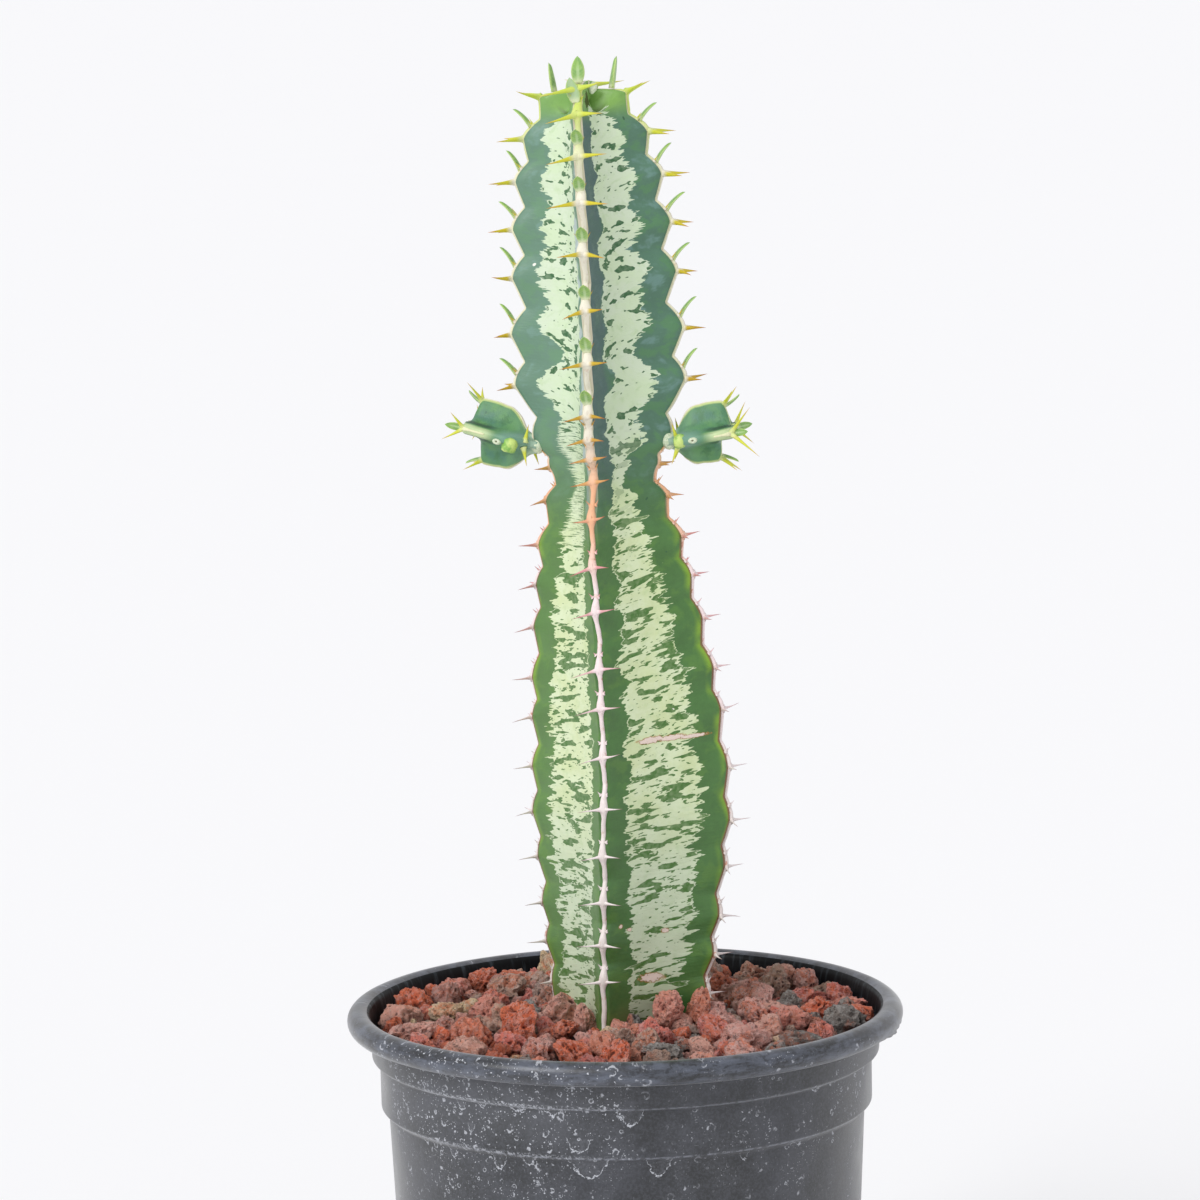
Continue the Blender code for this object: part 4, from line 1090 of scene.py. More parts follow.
def skin_material(settings):
    """Green skin with a ragged pale band down each face, dark flecks in it, and corky scars."""
    nodes = material_of("variegated_skin")
    skin = nodes.map("skin_map")
    u, t, _ = skin.split()
    near, hand, _ = nodes.map("edge_map").split()
    by_front, by_side, _ = nodes.map("band_map").split()
    high = t.step(*OLD_TO_YOUNG)
    tilt = high.between(hand.range(-1.0, 1.0, -0.09, 0.12), 0.14)
    sloped = t - u * hand * tilt
    place = nodes.join(u, sloped)
    wander = skin.noise((0.1, 0.1), 1.0).range(0.3, 0.7, -1.3, 1.3)
    comb = place.noise((0.1, 0.58), 2.0, 0.6).range(0.25, 0.75, -1.0, 1.0) * high.between(3.2, 1.7)
    teeth = place.noise((0.4, 1.9), 2.0, 0.6).range(0.25, 0.75, -0.8, 0.8)
    ragged = wander + (comb + teeth)
    closed = (t + hand.range(-1.0, 1.0, 5.5, 0.0)).step(229.5, 231.5) * 30.0
    pinch = abs(t - PINCH_HEIGHT).step(7.0, 0.5)
    narrow_foot = hand.step(0.5, -0.5) * t.step(24.0, 0.0) * 2.6
    youngest = t.step(196.0, 231.0)
    facing = hand.range(-1.0, 1.0, high.between(0.8, 0.66), 1.0)
    front = high.between(settings.front_lower / MM, settings.front_upper / MM)
    front = front + t.step(75.0, 20.0) * 1.2
    bulge = abs(t - BULGE_HEIGHT).step(5.0, 0.5) * hand.step(-0.5, 0.5) * 3.6
    thinner = youngest.between(1.0, 0.45)
    front = front * facing * thinner + bulge
    side = high.between(settings.side_lower / MM, settings.side_upper / MM)
    thinner = youngest.between(1.0, 0.7)
    side = side * thinner + pinch * 4.6 - narrow_foot
    from_front = by_front - front + ragged * 0.6
    from_side = by_side - side + ragged
    inner = (from_front & from_side) - closed
    pale = inner.step(-0.14, 0.14)

    clump = skin.noise((0.08, 0.08), 2.0, shift=(50, 0, 0)).range(0.35, 0.65, -0.05, 0.05)
    worms_low = (place.noise((0.12, 0.5), 2.5, 0.5) + clump).step(0.56, 0.572)
    worms_high = (place.noise((0.25, 0.45), 2.0, 0.5) + clump).step(0.578, 0.588)
    worms = high.mix(worms_low, worms_high)
    dashes = place.noise((0.45, 1.5), 1.5, 0.5, shift=(0, 70, 0)) + clump - high * 0.06
    dashes = dashes.step(0.635, 0.65)
    blot = place.noise((0.14, 0.32), 3.5, 0.6, shift=(20, 0, 0))
    blot = blot.step(0.61, 0.622) * t.step(134.0, 110.0)
    inside = inner.step(0.2, 0.6)
    fleck = (worms | (dashes | blot)) * inside

    broad = skin.noise((0.09, 0.12), 2.0)
    fine = skin.noise((0.8, 0.8), 3.0)
    tone = (broad * 0.7 + fine * 0.3).step(0.35, 0.65)
    teal = tone.mix(shaded(settings.teal, 0.86), settings.teal)
    water = skin.noise((0.16, 0.2), 3.5, 0.6, shift=(0, 90, 0))
    teal = teal.painted(water.step(0.5, 0.62) * 0.8, srgb(84, 132, 88))
    teal = teal.painted(water.step(0.46, 0.34) * 0.8, srgb(106, 142, 134))
    # Painted light: the left face, turned to the key light, is painted lighter in both greens.
    lit_left_face = hand.step(0.5, -0.5) * u.step(500.0, 600.0)
    teal = teal.painted(lit_left_face * 0.35, srgb(134, 168, 146))
    grass = tone.mix(settings.grass, shaded(settings.grass, 1.25))
    grass = grass.painted(water.step(0.5, 0.64) * 0.5, srgb(92, 134, 58))
    grass = grass.painted(lit_left_face * 0.14, srgb(140, 176, 92))
    dark = high.mix(grass, teal)
    # Painted light on the flanks beside the front and back ribs in the upper growth: painted shade, dark
    # blue-grey, and on the left face a painted pale lavender sheen.
    flank_shade_and_sheen = by_front.step(9.0, 6.0) * high
    patchy = skin.noise((0.12, 0.1), 2.5, shift=(70, 0, 0)).step(0.5, 0.56) | hand.step(-0.5, 0.5)
    flank_shade_and_sheen = flank_shade_and_sheen * patchy
    flank_shade_and_sheen_tone = lit_left_face.mix(srgb(80, 102, 106), srgb(196, 206, 210))
    dark = dark.painted(flank_shade_and_sheen * 0.75, flank_shade_and_sheen_tone)
    dark = dark.painted(t.step(222.0, 229.0) * water.range(0.35, 0.6, 0.95, 0.7), settings.young)
    # Painted shade: dark olive in the sunk middles of the faces at the apex and in a patch of the hollow
    # at the tip.
    centre, radii = TIP_HOLLOW_SHADE
    hollow = nodes.group(patch_group(), place=skin, centre=(*centre, 0.0), radii=(*radii, 1.0))
    apex_shade = t.step(228.5, 230.5) * near.step(4.0, 7.0) * 0.7
    dark = dark.painted(apex_shade | hollow["Mask"], srgb(62, 76, 22))
    glow = by_side.step(2.4, 0.3) * skin.noise((0.3, 0.14), 1.0).step(0.36, 0.6)
    glow = glow * t.step(132.0, 112.0) * t.range(25.0, 75.0, 0.25, 0.6)
    dark = dark.painted(glow, settings.lime)
    pale_upper = tone.mix(settings.pale_upper, srgb(212, 226, 200))
    pale_lower = tone.mix(settings.pale_lower, srgb(216, 228, 190))
    light = high.mix(pale_lower, pale_upper).painted(t.step(66.0, 28.0) * 0.7, srgb(200, 216, 190))
    veil = place.noise(0.5, 3.0).step(0.5, 0.75) * 0.3
    light = light.painted(veil, srgb(168, 198, 140))
    body = pale.mix(dark, light)
    fleck_tone = high.mix(srgb(72, 116, 48), srgb(56, 104, 62))
    body = body.painted(fleck * fine.range(0.3, 0.6, 0.8, 1.0), fleck_tone)
    maroon = by_side.step(0.5, 0.15) * t.step(140.0, 100.0) * 0.7
    body = body.painted(maroon, srgb(140, 74, 66))

    specks = skin.spots(5.5, 0.3, 0.1, 0.3) * (1.0 - pale)
    body = body.painted(specks * 0.8, srgb(44, 84, 56))
    glints = skin.spots(7.3, 0.25, 0.06, 0.3)
    body = body.painted(glints, srgb(238, 236, 226))

    scars = [
        nodes.group(patch_group(), place=skin, centre=(*centre, 0.0), radii=(*radii, 1.0))
        for centre, radii in CORK_SCARS
    ]
    cork = largest([scar["Mask"] for scar in scars])
    rims = largest([scar["Rim"] for scar in scars])
    body = body.painted(rims * 0.85, srgb(172, 118, 56)).painted(cork, settings.cork)
    crest = near.step(0.14, 0.02) * high * 0.85
    body = body.painted(crest, srgb(232, 222, 196))
    soiled = t.step(14.0, -1.0) * broad.step(0.35, 0.7) * 0.4
    body = body.painted(soiled, srgb(108, 84, 60))

    pores = skin.grain(0.4)
    creases = place.noise((0.25, 1.6), 3.0, 0.6)
    normal = (pores * 0.25 + creases * 0.75 + cork * 1.6 - fleck * 0.25).bump(0.22, 0.6)
    return nodes.finish(body, normal, fine.range(0.2, 0.8, 0.36, 0.52) + rims * 0.3)


def horn_material(settings):
    """Margins and spines: the colour runs with height, and along each spine to its darker tip."""
    nodes = material_of("margin_horn")
    place = nodes.millimetres()
    height = nodes.attribute("height") / STEM_TOP
    reach = nodes.attribute("reach")
    edge = nodes.attribute("edge")
    strip = height.ramp(
        (0.0, settings.bone), (0.2, settings.bone), (0.35, settings.rose), (0.47, settings.rose),
        (0.53, settings.peach), (0.575, settings.peach), (0.63, settings.cream), (0.9, settings.cream),
        (0.97, settings.lime), (1.0, settings.lime),
    )
    shaft = height.ramp(
        (0.0, srgb(236, 226, 224)), (0.28, srgb(238, 224, 224)), (0.38, srgb(232, 190, 192)),
        (0.5, srgb(222, 150, 152)), (0.56, srgb(224, 166, 112)), (0.64, srgb(196, 152, 40)),
        (0.75, srgb(206, 178, 40)), (0.88, srgb(214, 200, 44)), (0.95, srgb(212, 216, 66)),
        (1.0, srgb(206, 224, 84)),
    )
    tip = height.ramp(
        (0.0, srgb(164, 136, 136)), (0.3, srgb(166, 120, 128)), (0.46, srgb(176, 92, 106)),
        (0.56, srgb(190, 104, 60)), (0.66, srgb(176, 100, 34)), (0.85, srgb(212, 140, 50)),
        (0.97, srgb(214, 180, 70)), (1.0, srgb(214, 200, 90)),
    )
    streaks = place.scaled((1.0, 1.0, 0.25)).grain(0.5)
    blotch = place.noise(0.45, 3.0, 0.6)
    strip = strip.painted(streaks.step(0.5, 0.75) * 0.35, srgb(196, 176, 158))
    rust = blotch.step(0.56, 0.68) * edge.step(0.55, 0.95) * 0.75
    low = height.step(0.62, 0.5)
    strip = strip.painted(rust * low, srgb(196, 104, 76))
    rim = edge.step(0.8, 1.0) * height.step(0.6, 0.66) * 0.6
    strip = strip.painted(rim, srgb(206, 214, 150))
    tan = blotch.step(0.6, 0.72) * 0.4
    strip = strip.painted(tan, srgb(206, 168, 136))
    specks = place.spots(5.0, 0.22, 0.07, 0.3)
    strip = strip.painted(specks * 0.85, srgb(52, 44, 36))
    body = reach.step(0.1, 0.34).mix(strip, shaft).painted(reach.step(0.55, 0.95), tip)
    normal = (streaks + blotch * 0.8).bump(0.14, 0.5)
    return nodes.finish(body, normal, streaks.range(0.2, 0.8, 0.42, 0.62))


def leaf_material(settings):
    """Leaf blade with a pale keel, side veins and a paler edge."""
    nodes = material_of("leaf_blade")
    across, along, _ = nodes.map("blade_map").split()
    off = abs(across)
    keel = off.step(0.34, 0.1) * along.step(1.0, 0.6)
    veins = nodes.maths("SINE", along * 46.0 - off * 9.0).step(0.5, 1.0)
    place = nodes.millimetres()
    patches = place.noise(0.6, 3.0)
    body = patches.step(0.35, 0.7).mix(settings.blade, srgb(156, 194, 112))
    body = body.painted(veins * 0.2, settings.keel)
    body = body.painted(keel * 0.6, settings.keel)
    tops = along.step(0.4, 0.8) * patches.step(0.3, 0.6) * 0.5
    body = body.painted(tops, srgb(148, 196, 76))
    greyed = nodes.attribute("greyed") * off.range(0.5, 1.0, 1.0, 0.3)
    body = body.painted(greyed, srgb(178, 202, 164)).painted(along.step(0.3, 0.0), srgb(226, 232, 196))
    body = body.painted(off.step(0.72, 0.96) * 0.75, srgb(196, 218, 136))
    normal = (place.grain(0.35) * 0.6 + veins * 0.4).bump(0.12, 0.6)
    return nodes.finish(body, normal, patches.range(0.3, 0.7, 0.38, 0.55))


def shoot_material(settings):
    """Bluish green shoot skin, fresher near its margins, pale along the front rib's lower flank, with
    painted shade down the middles of the faces and in the fold beside the front rib.
    """
    nodes = material_of("shoot_green")
    skin = nodes.map("skin_map")
    _, t, _ = skin.split()
    near, _, _ = nodes.map("edge_map").split()
    patches = skin.noise((0.22, 0.22), 3.0)
    body = patches.step(0.36, 0.66).mix(settings.green, settings.fresh)
    mottle = skin.noise((0.4, 0.4), 4.0, 0.6, shift=(40, 0, 0))
    body = body.painted(mottle.step(0.5, 0.62) * 0.7, srgb(68, 118, 74))
    body = body.painted(near.step(3.2, 0.6) * 0.4, settings.fresh)
    # Painted shade: darker blue-green down the deep middle of each face.
    deep = near.step(4.2, 7.0) * 0.45
    body = body.painted(deep, srgb(60, 104, 92))
    bloom = t.step(9.0, 2.0) * 0.45
    body = body.painted(bloom, srgb(132, 172, 150))
    by_front, by_side, _ = nodes.map("band_map").split()
    crest = near.step(2.6, 1.2)
    edge = by_side.step(0.6, 0.1) * t.step(3.0, 6.0) * crest
    body = body.painted(edge, srgb(206, 222, 150))
    outer = t.step(8.0, 12.5)
    # Painted shade: a dark band in the fold beside the front and back ribs on the shoot's outer part.
    fold = by_front.step(4.0, 2.8) * by_front.step(1.4, 2.2) * outer
    body = body.painted(fold * 0.75, srgb(30, 56, 48))
    flank = by_front.step(1.7, 0.8) * outer * crest * patches.range(0.3, 0.7, 1.0, 0.6)
    body = body.painted(flank, srgb(204, 222, 168))
    neck = t.step(3.2, 0.4) * mottle.step(0.25, 0.6)
    body = body.painted(neck, srgb(206, 220, 184))
    bluish = by_front.step(5.0, 1.0) * t.step(10.0, 6.0) * 0.6
    body = body.painted(bluish, srgb(128, 166, 158))
    spots = skin.spots(3.0, 0.2, 0.12, 0.4)
    body = body.painted(spots * 0.6, srgb(64, 106, 88))
    return nodes.finish(body, skin.grain(0.4).bump(0.14, 0.6), patches.range(0.3, 0.7, 0.38, 0.5))


def bud_material(settings):
    """Lime bud: greener in its furrows, yellow on its ridges."""
    nodes = material_of("lime_bud")
    place = nodes.millimetres()
    patches = place.noise(0.45, 3.0, 0.6)
    body = patches.step(0.38, 0.62).mix(srgb(132, 184, 84), settings.bud)
    return nodes.finish(body, place.grain(0.5).bump(0.16, 0.6), patches.range(0.3, 0.7, 0.35, 0.55))


def scar_material():
    """Pale scar disc with a dark middle, by its own map."""
    nodes = material_of("pale_scar")
    place = nodes.millimetres()
    ring = nodes.attribute("ring")
    grain = place.grain(0.4)
    body = grain.step(0.35, 0.65).mix(srgb(226, 232, 208), srgb(194, 210, 176))
    ring = ring + grain.range(0.3, 0.7, -0.1, 0.1)
    body = body.painted(ring.step(0.36, 0.16) * 0.85, srgb(92, 78, 48))
    return nodes.finish(body, grain.bump(0.1, 0.6), grain.range(0.3, 0.7, 0.5, 0.7))


def lava_material(kind, tone):
    """Porous lava: a mottled colour that changes from stone to stone, pits of three sizes that crowd
    in patches and are darkened by painted shade, pale mineral crumbs, pale dust on the high spots
    that is partly painted light, and painted shade in the cavities and on the stones' lower parts."""
    nodes = material_of(f"lava_{kind}")
    place = nodes.millimetres()
    stone = nodes.attribute("stone")
    proud = nodes.attribute("proud")
    tone = shaded(tone, min(1.6, 0.93 / max(tone)), 0.02)
    dark = shaded(tone, 0.42)
    light = shaded(tone, 0.72, 0.27)
    patches = place.noise(0.2, 4.0, 0.6)
    rusty = place.noise(0.13, 2.0).step(0.5, 0.56) * 0.6
    body = rusty.mix(tone, srgb(246, 136, 96)).painted(patches.step(0.44, 0.34) * 0.75, dark)
    dust = place.noise(0.7, 5.0, 0.72)
    # Pale dust: real dust where the noise puts it, and painted light on the proud high spots.
    dust_and_crest_light = dust.step(0.48, 0.6) + proud * 0.3
    body = body.painted(dust_and_crest_light.step(0.0, 0.75) * 0.8, light)
    gritty = place.noise(2.2, 3.0, 0.7).step(0.44, 0.36)
    body = body.painted(gritty * 0.35, dark).painted(stone.step(0.55, 1.0) * 0.5, srgb(254, 196, 172))
    body = body.painted(stone.step(0.24, 0.0) * 0.62, dark)
    # Painted shade: the stones' lower parts, down among the others, are darker.
    buried = place.split()[2].step(*LOW_STONE_SHADE)
    body = body.painted(buried * 0.75, shaded(tone, 0.26))
    # Painted shade in the cavities that sink below their surroundings.
    sunk = proud.step(-0.5, -1.6) * 0.92
    body = body.painted(sunk, shaded(tone, 0.2))
    stirred = nodes.vector("ADD", place, place.stir(1.1, 3.0))
    holes = []
    for scale, low, high, crowd in LAVA_PITS:
        spread = place.scaled((1, 1, 1), shift=(scale * 30, 0, 0)).noise(crowd, 1.0)
        holes.append(stirred.cells(scale)[0].step(low, high) * spread.step(0.44, 0.54))
    holes = largest(holes)
    # Painted shade inside the pores.
    body = body.painted(holes * 0.66, shaded(tone, 0.16))
    crumbs = place.spots(0.9, 0.2, 0.26, 0.5)
    body = body.painted(crumbs * 0.7, srgb(236, 206, 194))
    lumps = place.noise(0.9, 5.0, 0.78)
    normal = (lumps * 1.6 - holes * 0.7).bump(1.25)
    return nodes.finish(body, normal, dust.range(0.3, 0.7, 0.8, 0.97))


def grit_material(name, dark, light, size):
    """Crumbly ground of dark and light grains of a size, with pale specks of pumice."""
    nodes = material_of(name)
    place = nodes.millimetres()
    distance, colours = place.cells(1 / size)
    fine = place.noise(2.2 / size, 3.0, 0.7)
    body = colours.split()[0].step(0.2, 0.9).mix(dark, light).painted(fine.step(0.4, 0.7) * 0.5, dark)
    body = body.painted(place.spots(2.4 * size, 0.12, 0.3, 0.5), srgb(196, 186, 168))
    return nodes.finish(body, (fine - distance).bump(0.8 * size), fine.range(0.3, 0.7, 0.85, 0.98))


def pot_material(settings):
    """Satin moulded plastic with dried lime: fine dots and curls scattered in patches, outlines of
    drips under the steps of the wall, fine scratches, dulled edges that carry a painted highlight
    too, and streaks of painted reflection on the lip."""
    nodes = material_of("dark_plastic")
    wall = nodes.map("wall_map")
    u, v, _ = wall.split()
    place = nodes.millimetres()
    cloud = place.noise(0.05, 3.0, 0.6)
    fine = place.noise(1.4, 4.0, 0.7)
    left = abs(u + 36.0).step(44.0, 8.0)
    patchy = place.noise(0.1, 3.0, 0.6).step(0.4, 0.64)
    upper = v.step(93.0, 104.0)
    rich = (left * upper.between(0.28, 1.1) + patchy.between(0.17, 0.58)) * (settings.lime_amount * 2)
    lime = largest([
        wall.spots(pitch, few, size, 0.6) * rich.step(low, low + 0.5) * power
        for pitch, few, size, low, power in LIME_DOTS
    ])
    broken = wall.noise(0.8, 2.0).step(0.46, 0.56)
    for pitch, few, size, low in LIME_RINGS:
        rings = wall.spots(pitch, few, size, 0.35, "Ring")
        lime = lime | rings * broken * rich.step(low, low + 0.35) * 0.7
    films = []
    stirred = nodes.join(
        u + wall.noise(0.5, 3.0, 0.7).between(-1.6, 1.6),
        v + wall.noise(0.6, 3.0, 0.7).between(-1.3, 1.3),
    )
    worn = wall.noise(1.1, 3.0, 0.7).step(0.38, 0.5)
    for middle, top, half_width, long in DRIPS:
        inputs = {"middle": middle, "top": top, "half_width": half_width, "length": long}
        drip = nodes.group(drip_group(), place=stirred, line=0.27, **inputs)
        lime = lime | drip["Line"] * worn * 0.9
        films.append(drip["Fill"])
    film = largest(films)
    crumbly = wall.noise(1.5, 3.0, 0.7).step(0.5, 0.56)
    for edge, power in LIME_STEPS:
        lime = lime | abs(v - edge).step(1.0, 0.2) * crumbly * left * power
    lime = lime * v.step(2.0, 30.0)
    long_scratch = wall.noise((0.4, 5.0), 2.0, turn=0.5).step(0.7, 0.73) * patchy.step(0.2, 0.7) * 0.6
    short_scratch = wall.noise((4.0, 0.5), 2.0, turn=0.3)
    marks = long_scratch | short_scratch.step(0.71, 0.74) * 0.6
    body = cloud.step(0.35, 0.65).mix(settings.plastic, settings.scuffed)
    body = body.painted(fine.step(0.42, 0.62) * 0.45, srgb(70, 72, 80))
    on_lip = v.step(113.4, 115.0)
    # Painted reflection: pale blue-grey satin streaks along the lip.
    lip_reflection_streaks = wall.noise((0.12, 0.4), 5.0, 0.72)
    body = body.painted(on_lip * lip_reflection_streaks.range(0.4, 0.62, 0.0, 0.75), srgb(96, 102, 116))
    blots = wall.noise((0.5, 0.7), 3.0, 0.6)
    body = body.painted(on_lip * blots.step(0.52, 0.66) * 0.6, srgb(26, 28, 34))
    body = body.painted(film * fine.range(0.3, 0.7, 0.0, 0.05), settings.lime)
    haze = rich * v.step(118.5, 114.0) * 0.05
    body = body.painted(haze, settings.lime)
    # Pale lines along the steps' edges and the lip's foot: partly rubbed by handling, partly painted
    # highlight.
    wear_and_edge_highlight = largest([abs(v - edge).step(0.45, 0.12) for edge in WORN_AND_LIT_EDGES])
    wear_and_edge_highlight = wear_and_edge_highlight * wall.noise(0.7, 4.0, 0.7).step(0.38, 0.56) * 0.55
    body = body.painted(wear_and_edge_highlight, srgb(150, 154, 166)).painted(marks * 0.4, settings.lime)
    body = body.painted(lime * 0.88, settings.lime)
    normal = (place.grain(0.3) * 0.25 + lime * 0.8 - marks * 0.5 + cloud * 2.0).bump(0.12, 0.6)
    roughness = cloud.range(0.3, 0.7, 0.26, 0.42) + lime * 0.35 + haze * 1.5
    plain = {"IOR": 1.55, "Sheen Weight": 0.4, "Sheen Roughness": 0.35}
    return nodes.finish(body, normal, roughness, plain)


def shaded_inside_material():
    """Clean plastic of the pot's inside, painted darker and duller as shade, with faint upright
    streaks of painted reflection and grit on its foot.
    """
    nodes = material_of("dark_plastic_inside")
    wall = nodes.map("wall_map")
    _, v, _ = wall.split()
    # Painted shade: the inside is darker than the outer plastic; the paler upright streaks are painted
    # reflection.
    reflection_streak = wall.noise((0.5, 0.06), 4.0, 0.65)
    body = reflection_streak.step(0.5, 0.68).mix(srgb(16, 17, 20), srgb(52, 58, 64))
    grit = wall.spots(1.6, 0.2, 0.2, 0.5)
    body = body.painted(grit * v.step(116.0, 110.0) * 0.5, srgb(120, 88, 76))
    normal = reflection_streak.bump(0.15, 0.5)
    return nodes.finish(body, normal, reflection_streak.range(0.3, 0.7, 0.5, 0.3), {"Specular IOR Level": 0.12})


def pot_inside(height):
    """Inner radius of the pot's wall, without its lip."""
    heights = (WALL_FOOT[1], WALL_TOP[1], BAND_FOOT, BAND_TOP, COLLAR_FOOT[1], LIP_CENTRE[1])
    radii = (WALL_FOOT[0], WALL_TOP[0], BAND_RADIUS, BAND_RADIUS, COLLAR_FOOT[0], COLLAR_TOP_RADIUS)
    return float(np.interp(height, heights, radii)) - POT_WALL


def eased_corners(outline, radius):
    """Outline with each inner corner replaced by a small curve between points a radius away."""
    outline = np.array(outline, float)
    points = [outline[:1]]
    part = np.linspace(0, 1, 4)[:, None]
    for before, here, after in zip(outline, outline[1:], outline[2:]):
        back = min(radius, 0.45 * np.linalg.norm(before - here))
        ahead = min(radius, 0.45 * np.linalg.norm(after - here))
        start = here + back * unit(before - here)
        stop = here + ahead * unit(after - here)
        points.append((1 - part) ** 2 * start + 2 * part * (1 - part) * here + part**2 * stop)
    points.append(outline[-1:])
    return np.concatenate(points)


def pot_outline():
    """Radius and height from the middle of the floor, up inside, over the lip and down outside."""
    floor_top = RECESS_DEPTH + FLOOR_THICKNESS
    foot_inside = WALL_FOOT[0] - FOOT_CHAMFER - FOOT_RING_WIDTH
    inside = [(0, floor_top)]
    inside += [
        (pot_inside(height), height)
        for height in (floor_top, WALL_TOP[1], BAND_FOOT, BAND_TOP, COLLAR_FOOT[1])
    ]
    angles = np.radians(np.linspace(165, -80, 22))
    seam = 1 + 0.07 * np.exp(-(((np.degrees(angles) - 138) / 7) ** 2))
    lip = np.stack([
        LIP_CENTRE[0] + LIP_RADIUS * seam * np.cos(angles),
        LIP_CENTRE[1] + LIP_RADIUS * seam * np.sin(angles),
    ], axis=1)
    outside = [
        (COLLAR_TOP_RADIUS, LIP_CENTRE[1] - LIP_RADIUS), COLLAR_FOOT, (BAND_RADIUS, BAND_TOP),
        (BAND_RADIUS, BAND_FOOT), WALL_TOP, WALL_FOOT, (WALL_FOOT[0] - FOOT_CHAMFER, 0),
        (foot_inside, 0), (foot_inside, RECESS_DEPTH), (0, RECESS_DEPTH),
    ]
    upper = eased_corners([*inside, tuple(lip[0])], POT_CORNER)[:-1]
    lower = eased_corners([tuple(lip[-1]), *outside], POT_CORNER)[1:]
    return np.concatenate([upper, lip, lower])


def pot_surface(settings):
    """The outline turned about Z. The lip strays from a true circle by a slow noise, and a ragged
    flange stands out of it over the burr's stretch."""
    outline = pot_outline()
    angle = np.radians(np.linspace(90, 450, settings.turns + 1))
    radius = np.broadcast_to(outline[:, :1], (len(outline), len(angle)))
    height = np.broadcast_to(outline[:, 1:], radius.shape)
    round_way = np.stack(np.broadcast_arrays(np.cos(angle) * 2.2, np.sin(angle) * 2.2, height / 90), -1)
    upper = step(height, 92.0, 114.0)
    wobble = settings.lip_wobble / MM * upper * rough(round_way, 2, seed=31)
    turned = np.degrees(angle) - 360
    middle, reach = BURR_PLACE
    frayed = np.clip(1 - np.abs((turned - middle) / reach), 0, 1) ** 0.5
    low_lip = np.exp(-(((height - 114.6) / 0.9) ** 2)) * (radius > 66.0)
    fray = rough(np.stack(np.broadcast_arrays(turned * 1.6, height * 0.9, 0 * radius), -1), 2, seed=8)
    burr = settings.burr / MM * frayed * low_lip * np.clip(0.45 + 0.9 * fray, 0, 1)
    full = radius + (wobble + burr) * (radius > 1)
    surface = Surface()
    grid = np.stack([full * np.cos(angle), full * np.sin(angle), height - 0.4 * burr], -1)
    walk = np.broadcast_to((angle - math.radians(270)) * BAND_RADIUS, radius.shape)
    surface.add(grid, wall_map=np.stack([walk, height], -1))
    return surface


def cut_drains(pot):
    """Cuts the drain holes out of the pot's floor with one Boolean difference, and applies it."""
    cutters = Surface()
    angle = np.radians(np.linspace(0, 360, DRAIN_SIDES + 1))
    middle = RECESS_DEPTH + FLOOR_THICKNESS / 2
    for number in range(DRAIN_HOLES):
        heading = 2 * math.pi * number / DRAIN_HOLES
        centre = around(DRAIN_CIRCLE, heading, middle)
        ring = np.stack([DRAIN_RADIUS * np.cos(angle), DRAIN_RADIUS * np.sin(angle), 0 * angle], -1)
        deep = np.array([0, 0, 2 * FLOOR_THICKNESS])
        rows = [0 * ring - deep, ring - deep, ring + deep, 0 * ring + deep]
        cutters.add(centre + np.stack(rows))
    cutter = cutters.shape("drain_cutters")
    cut = pot.modifiers.new("drains", "BOOLEAN")
    cut.operation = "DIFFERENCE"
    cut.object = cutter
    bpy.context.view_layer.update()
    graph = bpy.context.evaluated_depsgraph_get()
    finished = bpy.data.meshes.new_from_object(pot.evaluated_get(graph))
    pot.modifiers.clear()
    pot.data = finished
    bpy.data.objects.remove(cutter)
    finished.shade_smooth()
    finished.set_sharp_from_angle(angle=math.radians(50))


def part_inside(pot):
    """Gives the faces that look at the pot's axis from its wall the material of the inside, whose
    darker colour is painted shade.
    """
    mesh = pot.data
    mesh.materials.append(shaded_inside_material())
    centre = np.zeros(3 * len(mesh.polygons))
    normal = np.zeros(3 * len(mesh.polygons))
    mesh.polygons.foreach_get("center", centre)
    mesh.polygons.foreach_get("normal", normal)
    centre = centre.reshape(-1, 3) / MM
    normal = normal.reshape(-1, 3)
    away = (unit(centre[:, :2]) * normal[:, :2]).sum(axis=1)
    inside = (away < -0.2) & (centre[:, 2] > RECESS_DEPTH + 0.5) & (centre[:, 2] < LIP_CENTRE[1] + 2.2)
    mesh.polygons.foreach_set("material_index", inside.astype(np.int32))


def cube_sphere(cells):
    """Unit sphere from the six square grids of a cube: tangents of even angles, brought to length 1,
    with points that coincide made one. Returns directions and faces."""
    even = np.tan(np.radians(np.linspace(-45, 45, cells + 1)))
    a, b = np.meshgrid(even, even, indexing="ij")
    one = np.ones_like(a)
    sides = [(one, a, b), (-one, b, a), (b, one, a), (a, -one, b), (a, b, one), (b, a, -one)]
    points = np.stack([np.stack(side, -1) for side in sides])
    first = np.arange(points.size // 3).reshape(points.shape[:3])
    corners = (first[:, :-1, :-1], first[:, 1:, :-1], first[:, 1:, 1:], first[:, :-1, 1:])
    faces = np.stack(corners, -1).reshape(-1, 4)
    points, inverse = np.unique(np.round(points.reshape(-1, 3), 6), axis=0, return_inverse=True)
    return unit(points), inverse.reshape(-1)[faces]


def icosahedron_corners():
    """The twelve corner directions of an icosahedron in the order of Blender's own."""
    work = bmesh.new()
    bmesh.ops.create_icosphere(work, subdivisions=1, radius=1)
    corners = np.array([vertex.co for vertex in work.verts])
    work.free()
    return unit(corners)


def gravel_height(radius):
    """Mean level of the stones' middles, a low mound round the stem."""
    return float(np.interp(
        radius, (GRAVEL_MOUND_RADIUS, GRAVEL_RADIUS), (GRAVEL_AT_STEM, GRAVEL_AT_WALL)
    ))


